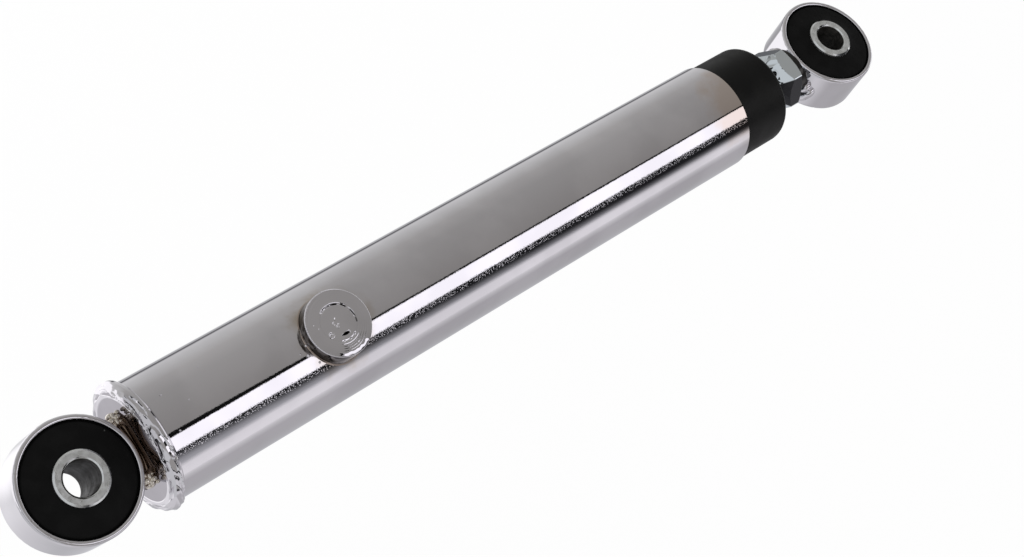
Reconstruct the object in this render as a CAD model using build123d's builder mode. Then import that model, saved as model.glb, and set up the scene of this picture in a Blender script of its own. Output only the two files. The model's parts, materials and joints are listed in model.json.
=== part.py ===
from build123d import *
from math import cos, radians, sin, sqrt
import os

os.makedirs("parts", exist_ok=True)

# The damper lies along X, with the lower eye's centre at the origin and Z along that eye's bolt.
# All lengths are in millimetres, with the rod pushed in to 7.8 mm short of its stop.

# Driving dimensions
EYE_TO_EYE = 310.0
STROKE_IN = 7.8
STROKE_OUT = 102.0
UPPER_EYE_ROLL = 15.3

EYE_OD = 35.0
EYE_WALL = 1.7
EYE_WIDTH = 17.0
SLEEVE_OD = 15.4
SLEEVE_BORE = 10.1
SLEEVE_LENGTH = 21.2
BUSH_CLEARANCE = 0.05

TUBE_OD = 36.0
TUBE_WALL = 1.25
TUBE_START = 22.5
TUBE_END = 252.0
CYLINDER_BORE = 25.0
CYLINDER_WALL = 1.0

ROD_DIAMETER = 12.0
ROD_END_DIAMETER = 8.0
ROD_CLEARANCE = 0.05

COLLAR_OD = 34.4
COLLAR_END = 272.5

BOSS_X = 80.5
BOSS_ROLL = 4.0
BOSS_DIAMETER = 20.0
BOSS_HEIGHT = 4.0
PLUG_DIAMETER = 11.3

SOCKET_HEX_WIDTH = 19.6
SOCKET_HEX_HEIGHT = 8.4
SOCKET_TURN = 48.5
SOCKET_NECK = 16.6

CHECK_TRAVEL = 1.0
CHECK_PLATE = 0.5
CHECK_PLATE_GAP = 0.08
SPRING_STRIP = 0.25
SHIM = 0.3
OIL_FILM = 0.02

# Sizes that follow
TUBE_R = TUBE_OD / 2
TUBE_BORE_R = TUBE_R - TUBE_WALL
CYLINDER_R = CYLINDER_BORE / 2
CYLINDER_OUTER_R = CYLINDER_R + CYLINDER_WALL
ROD_R = ROD_DIAMETER / 2
ROD_END_R = ROD_END_DIAMETER / 2
EYE_R = EYE_OD / 2
EYE_BORE_R = EYE_R - EYE_WALL
SLEEVE_R = SLEEVE_OD / 2
SEAL_BORE_R = ROD_R + ROD_CLEARANCE
INSERT_R = TUBE_BORE_R - 0.05

# Stations along X, from the lower end to the upper end
PLATE_FACE = 18.9
PLATE_FACE_R = 17.3
PLATE_SEAT = TUBE_START + 3.0
FOOT_SHIM_START = PLATE_SEAT + 3.1
FOOT_DISC_START = PLATE_SEAT + 4.0
CYLINDER_START = PLATE_SEAT + 6.0
FOOT_FACE = PLATE_SEAT + 10.5
FOOT_COLLAR_FLANGE = FOOT_FACE + CHECK_PLATE + CHECK_TRAVEL + 0.7
FOOT_NUT_START = FOOT_COLLAR_FLANGE + 1.0

PISTON_NUT_START = FOOT_NUT_START + STROKE_IN + 7.0
PISTON_NUT_HEIGHT = 6.5
WASHER_START = PISTON_NUT_START + PISTON_NUT_HEIGHT
SHIMS_START = WASHER_START + 1.0
PISTON_START = SHIMS_START + 3 * SHIM
PISTON_END = PISTON_START + 14.0
STOP_FLANGE = PISTON_END + CHECK_PLATE + CHECK_TRAVEL + 0.3
ROD_SHOULDER = STOP_FLANGE + 1.5

GUIDE_START = 222.0
CYLINDER_END = GUIDE_START + 8.0
SEAL_START = GUIDE_START + 14.0
GLAND_START = GUIDE_START + 18.0
SEAL_END = GLAND_START + 2.3
COLLAR_START = GLAND_START + 7.0
BUFFER_END = GUIDE_START - STROKE_OUT - 0.3
BUFFER_START = BUFFER_END - 5.0

SOCKET_START = COLLAR_END + STROKE_IN + 0.5
SOCKET_HEX_END = SOCKET_START + SOCKET_HEX_HEIGHT
SOCKET_R = SOCKET_NECK / 2
ROD_TIP = EYE_TO_EYE - EYE_R - 1.5

# Planes that the sub-parts stand on
roll = radians(UPPER_EYE_ROLL)
lower_eye = Plane.XY
upper_eye = Plane(origin=(EYE_TO_EYE, 0, 0), x_dir=(1, 0, 0), z_dir=(0, sin(roll), cos(roll)))
boss_roll = radians(BOSS_ROLL)
boss_base = Plane(origin=(BOSS_X, 0, 0), x_dir=(1, 0, 0), z_dir=(0, sin(boss_roll), cos(boss_roll)))
BOSS_TOP = TUBE_R + BOSS_HEIGHT


def half_profile(*points):
    """The face inside a closed outline of (x, radius) points, ready to turn about the X axis."""
    with BuildSketch(Plane.XY) as profile:
        with BuildLine():
            Polyline(*points, close=True)
        make_face()
    return profile.sketch


def across(x):
    """The plane square to the damper's axis at x, facing the upper eye."""
    return Plane(origin=(x, 0, 0), x_dir=(0, 1, 0), z_dir=(1, 0, 0))


def ring_points(radius, count):
    """Even points on a circle about the X axis, as sketch coordinates on an across() plane."""
    step = radians(360 / count)
    return [(radius * cos(i * step), radius * sin(i * step)) for i in range(count)]


def plain_ring(start, length, outer_r, bore_r):
    """A plain ring about the X axis."""
    with BuildPart() as ring:
        with BuildSketch(across(start)):
            Circle(outer_r)
            Circle(bore_r, mode=Mode.SUBTRACT)
        extrude(amount=length)
    return ring


def shim_stack(start, radii, bore_r):
    """Spring steel discs in a stack, with a film of oil between them."""
    with BuildPart() as stack:
        for i, shim_r in enumerate(radii):
            with BuildSketch(across(start + i * SHIM)):
                Circle(shim_r)
                Circle(bore_r, mode=Mode.SUBTRACT)
            extrude(amount=SHIM - OIL_FILM)
    return stack


def check_spring(plate_face, flange, leg_r, flange_r, notch_depth, notch_width):
    """A coned strip washer under a flange, notched into four legs that press on a check plate."""
    leg = plate_face + OIL_FILM
    with BuildPart() as spring:
        revolve(
            half_profile(
                (leg, leg_r),
                (leg + SPRING_STRIP, leg_r),
                (flange, flange_r),
                (flange - SPRING_STRIP, flange_r),
            ),
            axis=Axis.X,
        )
        with BuildSketch(across(leg - 1)):
            with PolarLocations(leg_r - 0.2, 4):
                Rectangle(notch_depth, notch_width)
        extrude(amount=flange - leg + 2, mode=Mode.SUBTRACT)
    return spring


def hexagon_nut(start, height, width, bore_r, turn, corner_cut):
    """A chamfered hexagon nut about the X axis; width is across its flats."""
    corner_r = width / sqrt(3)
    end = start + height
    with BuildPart() as nut:
        with BuildSketch(across(start)):
            RegularPolygon(width / 2, 6, major_radius=False, rotation=turn)
            Circle(bore_r, mode=Mode.SUBTRACT)
        extrude(amount=height)
        turned = half_profile(
            (start, 0),
            (start, corner_r - corner_cut),
            (start + corner_cut * 0.6, corner_r + 0.01),
            (end - corner_cut * 0.6, corner_r + 0.01),
            (end, corner_r - corner_cut),
            (end, 0),
        )
        revolve(turned, axis=Axis.X, mode=Mode.INTERSECT)
    return nut


# Eyes: a short steel tube, a rubber bush and a bolt sleeve at each end
EYE_OUTER_ROUNDING = 1.0
EYE_INNER_ROUNDING = 0.3
SLEEVE_CHAMFER = 0.4
DISH_DEPTH = 0.5
RUBBER_RISE = 0.3
RUBBER_SLOPE = 2.0
RUBBER_RIM = 0.8
RUBBER_RIM_DEPTH = 1.0
for end, eye in (("lower", lower_eye), ("upper", upper_eye)):
    with BuildPart() as eye_ring:
        with BuildSketch(eye.offset(-EYE_WIDTH / 2)):
            Circle(EYE_R)
            Circle(EYE_BORE_R, mode=Mode.SUBTRACT)
        extrude(amount=EYE_WIDTH)
        rims = eye_ring.edges().filter_by(GeomType.CIRCLE).group_by(SortBy.RADIUS)
        fillet(rims[-1], EYE_OUTER_ROUNDING)
        fillet(rims[0], EYE_INNER_ROUNDING)
    eye_ring.part.label = f"{end}_eye_ring"
    export_step(eye_ring.part, f"parts/{end}_eye_ring.step")

    with BuildPart() as bush_rubber:
        bore = SLEEVE_R + BUSH_CLEARANCE
        half = EYE_WIDTH / 2
        side = Plane(origin=eye.origin, x_dir=eye.x_dir, z_dir=-eye.y_dir)
        with BuildSketch(side):
            with BuildLine():
                top = Polyline(
                    (EYE_BORE_R, half - RUBBER_RIM_DEPTH),
                    (EYE_BORE_R - RUBBER_RIM, half - DISH_DEPTH),
                    (bore + RUBBER_SLOPE, half - DISH_DEPTH),
                    (bore, half + RUBBER_RISE),
                )
                mirror(top, about=Plane.XZ)
                Line(top @ 0, (EYE_BORE_R, RUBBER_RIM_DEPTH - half))
                Line(top @ 1, (bore, -half - RUBBER_RISE))
            make_face()
        revolve(axis=Axis(eye.origin, eye.z_dir))
    bush_rubber.part.label = f"{end}_bush_rubber"
    export_step(bush_rubber.part, f"parts/{end}_bush_rubber.step")

    with BuildPart() as bush_sleeve:
        with BuildSketch(eye.offset(-SLEEVE_LENGTH / 2)):
            Circle(SLEEVE_R)
            Circle(SLEEVE_BORE / 2, mode=Mode.SUBTRACT)
        extrude(amount=SLEEVE_LENGTH)
        chamfer(bush_sleeve.edges().filter_by(GeomType.CIRCLE), SLEEVE_CHAMFER)
    bush_sleeve.part.label = f"{end}_bush_sleeve"
    export_step(bush_sleeve.part, f"parts/{end}_bush_sleeve.step")

# End plate: a domed disc with a spigot in the tube and a seat for the foot valve
DOME_EDGE_R = 14.0
DOME_RADIUS = 70.7
PLATE_ROUNDING = 1.4
PLATE_R = PLATE_FACE_R + PLATE_ROUNDING
PLATE_EDGE = PLATE_FACE + PLATE_ROUNDING
PLATE_BEVEL = 0.9
SPIGOT_CHAMFER = 0.5
FOOT_POCKET_R = 12.0
FOOT_POCKET_DEPTH = 1.0
FOOT_WELL_R = 9.0
FOOT_WELL_BOTTOM_R = 5.0
FOOT_WELL_DEPTH = 2.0
with BuildPart() as end_plate:
    with BuildSketch(Plane.XY):
        with BuildLine():
            RadiusArc((EYE_R, 0), (PLATE_FACE, DOME_EDGE_R), -DOME_RADIUS)
            Line((PLATE_FACE, DOME_EDGE_R), (PLATE_FACE, PLATE_FACE_R))
            RadiusArc((PLATE_FACE, PLATE_FACE_R), (PLATE_EDGE, PLATE_R), -PLATE_ROUNDING)
            Polyline(
                (PLATE_EDGE, PLATE_R),
                (TUBE_START - PLATE_BEVEL, PLATE_R),
                (TUBE_START, PLATE_R - PLATE_BEVEL),
                (TUBE_START, TUBE_BORE_R),
                (PLATE_SEAT - SPIGOT_CHAMFER, TUBE_BORE_R),
                (PLATE_SEAT, TUBE_BORE_R - SPIGOT_CHAMFER),
                (PLATE_SEAT, FOOT_POCKET_R),
                (PLATE_SEAT - FOOT_POCKET_DEPTH, FOOT_POCKET_R),
                (PLATE_SEAT - FOOT_POCKET_DEPTH, FOOT_WELL_R),
                (PLATE_SEAT - FOOT_WELL_DEPTH, FOOT_WELL_BOTTOM_R),
                (PLATE_SEAT - FOOT_WELL_DEPTH, 0),
                (EYE_R, 0),
            )
        make_face()
    revolve(axis=Axis.X)
end_plate.part.label = "end_plate"
export_step(end_plate.part, "parts/end_plate.step")

# The weld that closes the joint between the end plate's rim and the tube
CROWN_X = 20.9
CROWN_R = 19.8
WELD_TOE = 0.5
WELD_STEP = 0.7
with BuildPart() as end_plate_weld:
    with BuildSketch(Plane.XY):
        with BuildLine():
            ThreePointArc(
                (PLATE_EDGE, PLATE_R),
                (CROWN_X, CROWN_R),
                (TUBE_START, TUBE_R + WELD_STEP),
            )
            Polyline(
                (TUBE_START, TUBE_R + WELD_STEP),
                (TUBE_START + WELD_TOE, TUBE_R),
                (TUBE_START, TUBE_R),
                (TUBE_START, PLATE_R - PLATE_BEVEL),
                (TUBE_START - PLATE_BEVEL, PLATE_R),
                (PLATE_EDGE, PLATE_R),
            )
        make_face()
    revolve(axis=Axis.X)
end_plate_weld.part.label = "end_plate_weld"
export_step(end_plate_weld.part, "parts/end_plate_weld.step")

# Weld beads: rows of overlapping drops, trimmed where they meet the parent metal
LOWER_BEAD_R = 2.6
LOWER_BEAD_PITCH = 2.4
LOWER_BEAD_X = 17.2
LOWER_BEAD_Y = 9.0
with BuildPart() as lower_eye_weld:
    for side in (-1, 1):
        drops = [(LOWER_BEAD_X, side * LOWER_BEAD_Y, i * LOWER_BEAD_PITCH) for i in range(-3, 4)]
        with Locations(*drops):
            Sphere(LOWER_BEAD_R)
    with BuildSketch(lower_eye.offset(-EYE_WIDTH)):
        Circle(EYE_R)
    extrude(amount=2 * EYE_WIDTH, mode=Mode.SUBTRACT)
    add(end_plate.part, mode=Mode.SUBTRACT)
lower_eye_weld.part.label = "lower_eye_weld"
export_step(lower_eye_weld.part, "parts/lower_eye_weld.step")

# Outer tube, with the oil filling hole under the side boss
FILL_HOLE_R = 4.2
MOUTH_CHAMFER = 0.3
with BuildPart() as outer_tube:
    with BuildSketch(across(TUBE_START)):
        Circle(TUBE_R)
        Circle(TUBE_BORE_R, mode=Mode.SUBTRACT)
    extrude(amount=TUBE_END - TUBE_START)
    mouth = outer_tube.faces().sort_by(Axis.X)[-1]
    chamfer(mouth.edges(), MOUTH_CHAMFER)
    with BuildSketch(boss_base):
        Circle(FILL_HOLE_R)
    extrude(amount=TUBE_R + 1, mode=Mode.SUBTRACT)
outer_tube.part.label = "outer_tube"
export_step(outer_tube.part, "parts/outer_tube.step")

# Side boss: a turned boss that fits the tube's curve, with a counterbored filling hole
SEAL_RING = 0.6
PLUG_FLANGE = 2.1
PLUG_SINK = 0.1
BOSS_CHAMFER = 0.3
PLUG_CHAMFER = 0.25
SEAT_HEIGHT = BOSS_TOP - PLUG_SINK - PLUG_FLANGE - SEAL_RING
with BuildPart() as side_boss:
    with BuildSketch(boss_base):
        Circle(BOSS_DIAMETER / 2)
    extrude(amount=BOSS_TOP)
    chamfer(side_boss.faces().sort_by(Axis.Z)[-1].edges(), BOSS_CHAMFER)
    with BuildSketch(across(BOSS_X - BOSS_DIAMETER)):
        Circle(TUBE_R)
    extrude(amount=2 * BOSS_DIAMETER, mode=Mode.SUBTRACT)
    with BuildSketch(boss_base):
        Circle(FILL_HOLE_R)
    extrude(amount=BOSS_TOP, mode=Mode.SUBTRACT)
    with BuildSketch(boss_base.offset(SEAT_HEIGHT)):
        Circle(PLUG_DIAMETER / 2)
    extrude(amount=BOSS_HEIGHT, mode=Mode.SUBTRACT)
side_boss.part.label = "side_boss"
export_step(side_boss.part, "parts/side_boss.step")

with BuildPart() as side_plug_seal:
    with BuildSketch(boss_base.offset(SEAT_HEIGHT)):
        Circle(PLUG_DIAMETER / 2)
        Circle(FILL_HOLE_R, mode=Mode.SUBTRACT)
    extrude(amount=SEAL_RING)
side_plug_seal.part.label = "side_plug_seal"
export_step(side_plug_seal.part, "parts/side_plug_seal.step")

with BuildPart() as side_plug:
    with BuildSketch(boss_base.offset(SEAT_HEIGHT + SEAL_RING)):
        Circle(PLUG_DIAMETER / 2)
    extrude(amount=PLUG_FLANGE)
    chamfer(side_plug.faces().sort_by(Axis.Z)[-1].edges(), PLUG_CHAMFER)
    with BuildSketch(boss_base.offset(TUBE_R - TUBE_WALL)):
        Circle(FILL_HOLE_R)
    extrude(amount=SEAT_HEIGHT + SEAL_RING - TUBE_R + TUBE_WALL)
side_plug.part.label = "side_plug"
export_step(side_plug.part, "parts/side_plug.step")

# Inner cylinder, which the piston runs in
inner_cylinder = plain_ring(
    CYLINDER_START, CYLINDER_END - CYLINDER_START, CYLINDER_OUTER_R, CYLINDER_R
)
inner_cylinder.part.label = "inner_cylinder"
export_step(inner_cylinder.part, "parts/inner_cylinder.step")

# Foot valve body: a slotted skirt on the end plate, and a ported disc pressed in the cylinder
FOOT_BOLT_R = 3.0
FOOT_SKIRT_R = 11.0
FOOT_SKIRT_OUTER_R = 11.9
FOOT_SLOT_WIDTH = 5.0
FOOT_SLOT_DEPTH = 3.3
FOOT_PORT_R = 1.4
FOOT_PORT_RING = 8.2
FOOT_BLEED_R = 0.75
FOOT_BLEED_RING = 4.6
with BuildPart() as foot_valve_body:
    revolve(
        half_profile(
            (PLATE_SEAT - 0.9, FOOT_SKIRT_R),
            (PLATE_SEAT - 0.9, FOOT_SKIRT_OUTER_R),
            (PLATE_SEAT, FOOT_SKIRT_OUTER_R),
            (PLATE_SEAT, CYLINDER_OUTER_R - 0.1),
            (CYLINDER_START, CYLINDER_OUTER_R - 0.1),
            (CYLINDER_START, CYLINDER_R),
            (FOOT_FACE - 0.8, CYLINDER_R),
            (FOOT_FACE, CYLINDER_R - 0.8),
            (FOOT_FACE, FOOT_BOLT_R),
            (FOOT_DISC_START, FOOT_BOLT_R),
            (FOOT_DISC_START, FOOT_SKIRT_R),
        ),
        axis=Axis.X,
    )
    with BuildSketch(across(PLATE_SEAT - 1)):
        Rectangle(TUBE_OD, FOOT_SLOT_WIDTH)
        Rectangle(FOOT_SLOT_WIDTH, TUBE_OD)
    extrude(amount=1 + FOOT_SLOT_DEPTH, mode=Mode.SUBTRACT)
    with BuildSketch(across(FOOT_DISC_START)):
        with Locations(*ring_points(FOOT_PORT_RING, 6)):
            Circle(FOOT_PORT_R)
        with Locations(*ring_points(FOOT_BLEED_RING, 3)):
            Circle(FOOT_BLEED_R)
    extrude(amount=FOOT_FACE - FOOT_DISC_START, mode=Mode.SUBTRACT)
foot_valve_body.part.label = "foot_valve_body"
export_step(foot_valve_body.part, "parts/foot_valve_body.step")

# Compression shims under the foot valve, the smallest against the bolt's head
foot_valve_shims = shim_stack(FOOT_SHIM_START, (4.8, 5.6, 6.4), FOOT_BOLT_R)
foot_valve_shims.part.label = "foot_valve_shims"
export_step(foot_valve_shims.part, "parts/foot_valve_shims.step")

FOOT_HEAD_R = 4.8
FOOT_HEAD_HEIGHT = 2.6
FOOT_HEAD_CHAMFER = 0.6
FOOT_NUT_HEIGHT = 4.0
FOOT_BOLT_TIP = 0.8
FOOT_TIP_CHAMFER = 0.5
with BuildPart() as foot_valve_bolt:
    with BuildSketch(across(FOOT_SHIM_START - FOOT_HEAD_HEIGHT)):
        Circle(FOOT_HEAD_R)
    extrude(amount=FOOT_HEAD_HEIGHT)
    chamfer(foot_valve_bolt.faces().sort_by(Axis.X)[0].edges(), FOOT_HEAD_CHAMFER)
    with BuildSketch(across(FOOT_SHIM_START)):
        Circle(FOOT_BOLT_R)
    extrude(amount=FOOT_NUT_START + FOOT_NUT_HEIGHT + FOOT_BOLT_TIP - FOOT_SHIM_START)
    chamfer(foot_valve_bolt.faces().sort_by(Axis.X)[-1].edges(), FOOT_TIP_CHAMFER)
foot_valve_bolt.part.label = "foot_valve_bolt"
export_step(foot_valve_bolt.part, "parts/foot_valve_bolt.step")

# Foot valve collar: guides the check plate, carries its spring and passes the bleed ports
FOOT_GUIDE_R = 6.0
FOOT_FLANGE_R = 7.6
with BuildPart() as foot_valve_collar:
    revolve(
        half_profile(
            (FOOT_FACE, FOOT_BOLT_R),
            (FOOT_FACE, FOOT_GUIDE_R),
            (FOOT_COLLAR_FLANGE, FOOT_GUIDE_R),
            (FOOT_COLLAR_FLANGE, FOOT_FLANGE_R),
            (FOOT_NUT_START, FOOT_FLANGE_R),
            (FOOT_NUT_START, FOOT_BOLT_R),
        ),
        axis=Axis.X,
    )
    with BuildSketch(across(FOOT_FACE)):
        with Locations(*ring_points(FOOT_BLEED_RING, 3)):
            Circle(FOOT_BLEED_R)
    extrude(amount=FOOT_NUT_START - FOOT_FACE, mode=Mode.SUBTRACT)
foot_valve_collar.part.label = "foot_valve_collar"
export_step(foot_valve_collar.part, "parts/foot_valve_collar.step")

FOOT_PLATE_R = 10.4
foot_check_plate = plain_ring(FOOT_FACE, CHECK_PLATE, FOOT_PLATE_R, FOOT_GUIDE_R + CHECK_PLATE_GAP)
foot_check_plate.part.label = "foot_check_plate"
export_step(foot_check_plate.part, "parts/foot_check_plate.step")

foot_check_spring = check_spring(
    FOOT_FACE + CHECK_PLATE,
    FOOT_COLLAR_FLANGE,
    leg_r=9.6,
    flange_r=6.3,
    notch_depth=4.4,
    notch_width=9.0,
)
foot_check_spring.part.label = "foot_check_spring"
export_step(foot_check_spring.part, "parts/foot_check_spring.step")

foot_valve_nut = hexagon_nut(
    FOOT_NUT_START, FOOT_NUT_HEIGHT, width=10.0, bore_r=FOOT_BOLT_R, turn=0, corner_cut=0.9
)
foot_valve_nut.part.label = "foot_valve_nut"
export_step(foot_valve_nut.part, "parts/foot_valve_nut.step")

# Piston: rebound ports inside, intake ports outside, each row opening into its own face groove
PISTON_R = CYLINDER_R - 0.3
RING_GROOVE_R = 11.2
RING_START = PISTON_START + 3.8
RING_LENGTH = 6.4
REBOUND_PORT_R = 0.9
REBOUND_RING = 6.3
INTAKE_PORT_R = 1.1
INTAKE_RING = 9.6
with BuildPart() as piston:
    revolve(
        half_profile(
            (PISTON_START, ROD_END_R),
            (PISTON_START, 5.4),
            (PISTON_START + 1.0, 5.4),
            (PISTON_START + 1.0, 7.3),
            (PISTON_START, 7.3),
            (PISTON_START, 8.2),
            (PISTON_START + 0.8, 8.4),
            (PISTON_START + 0.8, PISTON_R - 0.6),
            (PISTON_START + 1.4, PISTON_R),
            (RING_START, PISTON_R),
            (RING_START, RING_GROOVE_R),
            (RING_START + RING_LENGTH, RING_GROOVE_R),
            (RING_START + RING_LENGTH, PISTON_R),
            (PISTON_END - 0.6, PISTON_R),
            (PISTON_END, PISTON_R - 0.6),
            (PISTON_END, 10.8),
            (PISTON_END - 1.0, 10.8),
            (PISTON_END - 1.0, 8.4),
            (PISTON_END, 8.4),
            (PISTON_END, ROD_END_R),
        ),
        axis=Axis.X,
    )
    with BuildSketch(across(PISTON_START)):
        with Locations(*ring_points(REBOUND_RING, 6)):
            Circle(REBOUND_PORT_R)
        with Locations(*ring_points(INTAKE_RING, 8)):
            Circle(INTAKE_PORT_R)
    extrude(amount=PISTON_END - PISTON_START, mode=Mode.SUBTRACT)
piston.part.label = "piston"
export_step(piston.part, "parts/piston.step")

# Piston ring, split so that it springs over the piston
RING_END_PLAY = 0.2
RING_SPLIT = 0.6
with BuildPart() as piston_ring:
    with BuildSketch(across(RING_START + RING_END_PLAY)):
        Circle(CYLINDER_R - 0.04)
        Circle(RING_GROOVE_R + 0.1, mode=Mode.SUBTRACT)
        with Locations((0, CYLINDER_R)):
            Rectangle(RING_SPLIT, 4, mode=Mode.SUBTRACT)
    extrude(amount=RING_LENGTH - 2 * RING_END_PLAY)
piston_ring.part.label = "piston_ring"
export_step(piston_ring.part, "parts/piston_ring.step")

piston_nut = hexagon_nut(
    PISTON_NUT_START, PISTON_NUT_HEIGHT, width=13.0, bore_r=ROD_END_R, turn=0, corner_cut=1.0
)
piston_nut.part.label = "piston_nut"
export_step(piston_nut.part, "parts/piston_nut.step")

WASHER_R = 6.0
piston_washer = plain_ring(WASHER_START, SHIMS_START - WASHER_START, WASHER_R, ROD_END_R)
piston_washer.part.label = "piston_washer"
export_step(piston_washer.part, "parts/piston_washer.step")

# Rebound shims, the largest against the piston
rebound_shims = shim_stack(SHIMS_START, (6.6, 7.4, 8.2), ROD_END_R)
rebound_shims.part.label = "rebound_shims"
export_step(rebound_shims.part, "parts/rebound_shims.step")

# Piston check plate, with a window over each rebound port
STOP_GUIDE_R = 5.0
STOP_FLANGE_R = 9.0
PISTON_PLATE_R = 11.4
with BuildPart() as piston_check_plate:
    with BuildSketch(across(PISTON_END)):
        Circle(PISTON_PLATE_R)
        Circle(STOP_GUIDE_R + CHECK_PLATE_GAP, mode=Mode.SUBTRACT)
        with Locations(*ring_points(REBOUND_RING, 6)):
            Circle(REBOUND_PORT_R, mode=Mode.SUBTRACT)
    extrude(amount=CHECK_PLATE)
piston_check_plate.part.label = "piston_check_plate"
export_step(piston_check_plate.part, "parts/piston_check_plate.step")

with BuildPart() as piston_stop_collar:
    revolve(
        half_profile(
            (PISTON_END, ROD_END_R),
            (PISTON_END, STOP_GUIDE_R),
            (STOP_FLANGE, STOP_GUIDE_R),
            (STOP_FLANGE, STOP_FLANGE_R),
            (ROD_SHOULDER, STOP_FLANGE_R),
            (ROD_SHOULDER, ROD_END_R),
        ),
        axis=Axis.X,
    )
piston_stop_collar.part.label = "piston_stop_collar"
export_step(piston_stop_collar.part, "parts/piston_stop_collar.step")

piston_check_spring = check_spring(
    PISTON_END + CHECK_PLATE,
    STOP_FLANGE,
    leg_r=8.8,
    flange_r=5.4,
    notch_depth=4.0,
    notch_width=8.0,
)
piston_check_spring.part.label = "piston_check_spring"
export_step(piston_check_spring.part, "parts/piston_check_spring.step")

# Piston rod, turned down at the piston and threaded at the socket
with BuildPart() as piston_rod:
    revolve(
        half_profile(
            (PISTON_NUT_START - 0.8, 0),
            (PISTON_NUT_START - 0.8, ROD_END_R - 0.7),
            (PISTON_NUT_START - 0.1, ROD_END_R),
            (ROD_SHOULDER, ROD_END_R),
            (ROD_SHOULDER, ROD_R),
            (ROD_TIP - 0.8, ROD_R),
            (ROD_TIP, ROD_R - 0.8),
            (ROD_TIP, 0),
        ),
        axis=Axis.X,
    )
piston_rod.part.label = "piston_rod"
export_step(piston_rod.part, "parts/piston_rod.step")

# Rebound spacer and buffer, which meet the rod guide at full extension
SPACER_R = 9.0
BUFFER_ROUNDING = 1.0
rebound_spacer = plain_ring(ROD_SHOULDER, BUFFER_START - ROD_SHOULDER, SPACER_R, ROD_R)
rebound_spacer.part.label = "rebound_spacer"
export_step(rebound_spacer.part, "parts/rebound_spacer.step")

with BuildPart() as rebound_buffer:
    with BuildSketch(across(BUFFER_START)):
        Circle(SPACER_R)
        Circle(ROD_R, mode=Mode.SUBTRACT)
    extrude(amount=BUFFER_END - BUFFER_START)
    rims = rebound_buffer.edges().filter_by(GeomType.CIRCLE).group_by(SortBy.RADIUS)[-1]
    fillet(rims, BUFFER_ROUNDING)
rebound_buffer.part.label = "rebound_buffer"
export_step(rebound_buffer.part, "parts/rebound_buffer.step")

# Rod guide: a spigot in the cylinder, a head in the tube, an O-ring groove and oil return holes
BUSHING_R = 7.0
SEAL_R = 11.0
O_RING_GROOVE_R = 15.1
O_RING_X = GUIDE_START + 12.9
RETURN_RING = 14.3
RETURN_HOLE_R = 0.6
O_RING_SECTION_R = 0.8
O_RING_GROOVE_HALF = 1.5
with BuildPart() as rod_guide:
    revolve(
        half_profile(
            (GUIDE_START, BUSHING_R),
            (GUIDE_START, CYLINDER_R - 0.5),
            (GUIDE_START + 0.5, CYLINDER_R),
            (CYLINDER_END, CYLINDER_R),
            (CYLINDER_END, INSERT_R),
            (O_RING_X - O_RING_GROOVE_HALF, INSERT_R),
            (O_RING_X - O_RING_GROOVE_HALF, O_RING_GROOVE_R),
            (O_RING_X + O_RING_GROOVE_HALF, O_RING_GROOVE_R),
            (O_RING_X + O_RING_GROOVE_HALF, INSERT_R),
            (GLAND_START, INSERT_R),
            (GLAND_START, SEAL_R),
            (SEAL_START, SEAL_R),
            (SEAL_START, BUSHING_R),
        ),
        axis=Axis.X,
    )
    with BuildSketch(across(CYLINDER_END)):
        with Locations(*ring_points(RETURN_RING, 3)):
            Circle(RETURN_HOLE_R)
    extrude(amount=GLAND_START - CYLINDER_END, mode=Mode.SUBTRACT)
rod_guide.part.label = "rod_guide"
export_step(rod_guide.part, "parts/rod_guide.step")

BUSHING_INSET = 0.5
BUSHING_LENGTH = SEAL_START - GUIDE_START - 2 * BUSHING_INSET
guide_bushing = plain_ring(GUIDE_START + BUSHING_INSET, BUSHING_LENGTH, BUSHING_R, SEAL_BORE_R)
guide_bushing.part.label = "guide_bushing"
export_step(guide_bushing.part, "parts/guide_bushing.step")

with BuildPart() as guide_o_ring:
    with BuildSketch(Plane.XY):
        with Locations((O_RING_X, O_RING_GROOVE_R + O_RING_SECTION_R)):
            Circle(O_RING_SECTION_R)
    revolve(axis=Axis.X)
guide_o_ring.part.label = "guide_o_ring"
export_step(guide_o_ring.part, "parts/guide_o_ring.step")

# Rod oil seal with two lips and an oil pocket between them
with BuildPart() as rod_oil_seal:
    revolve(
        half_profile(
            (SEAL_START, SEAL_R),
            (SEAL_END, SEAL_R),
            (SEAL_END, SEAL_BORE_R + 0.6),
            (SEAL_END - 0.6, SEAL_BORE_R),
            (SEAL_END - 1.4, SEAL_BORE_R),
            (SEAL_END - 2.6, SEAL_BORE_R + 1.2),
            (SEAL_START + 2.4, SEAL_BORE_R + 1.2),
            (SEAL_START + 1.4, SEAL_BORE_R),
            (SEAL_START + 0.5, SEAL_BORE_R),
            (SEAL_START, SEAL_BORE_R + 0.5),
        ),
        axis=Axis.X,
    )
rod_oil_seal.part.label = "rod_oil_seal"
export_step(rod_oil_seal.part, "parts/rod_oil_seal.step")

# Gland nut: a threaded ring with four pin spanner holes, which holds the guide and the seal
GLAND_BORE_R = 7.5
SPANNER_RING = 10.6
SPANNER_HOLE_R = 1.6
SPANNER_HOLE_DEPTH = 3.0
with BuildPart() as gland_nut:
    revolve(
        half_profile(
            (GLAND_START, SEAL_R),
            (GLAND_START, INSERT_R),
            (COLLAR_START, INSERT_R),
            (COLLAR_START, GLAND_BORE_R),
            (SEAL_END, GLAND_BORE_R),
            (SEAL_END, SEAL_R),
        ),
        axis=Axis.X,
    )
    with BuildSketch(across(COLLAR_START)):
        with Locations(*ring_points(SPANNER_RING, 4)):
            Circle(SPANNER_HOLE_R)
    extrude(amount=-SPANNER_HOLE_DEPTH, mode=Mode.SUBTRACT)
gland_nut.part.label = "gland_nut"
export_step(gland_nut.part, "parts/gland_nut.step")

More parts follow.
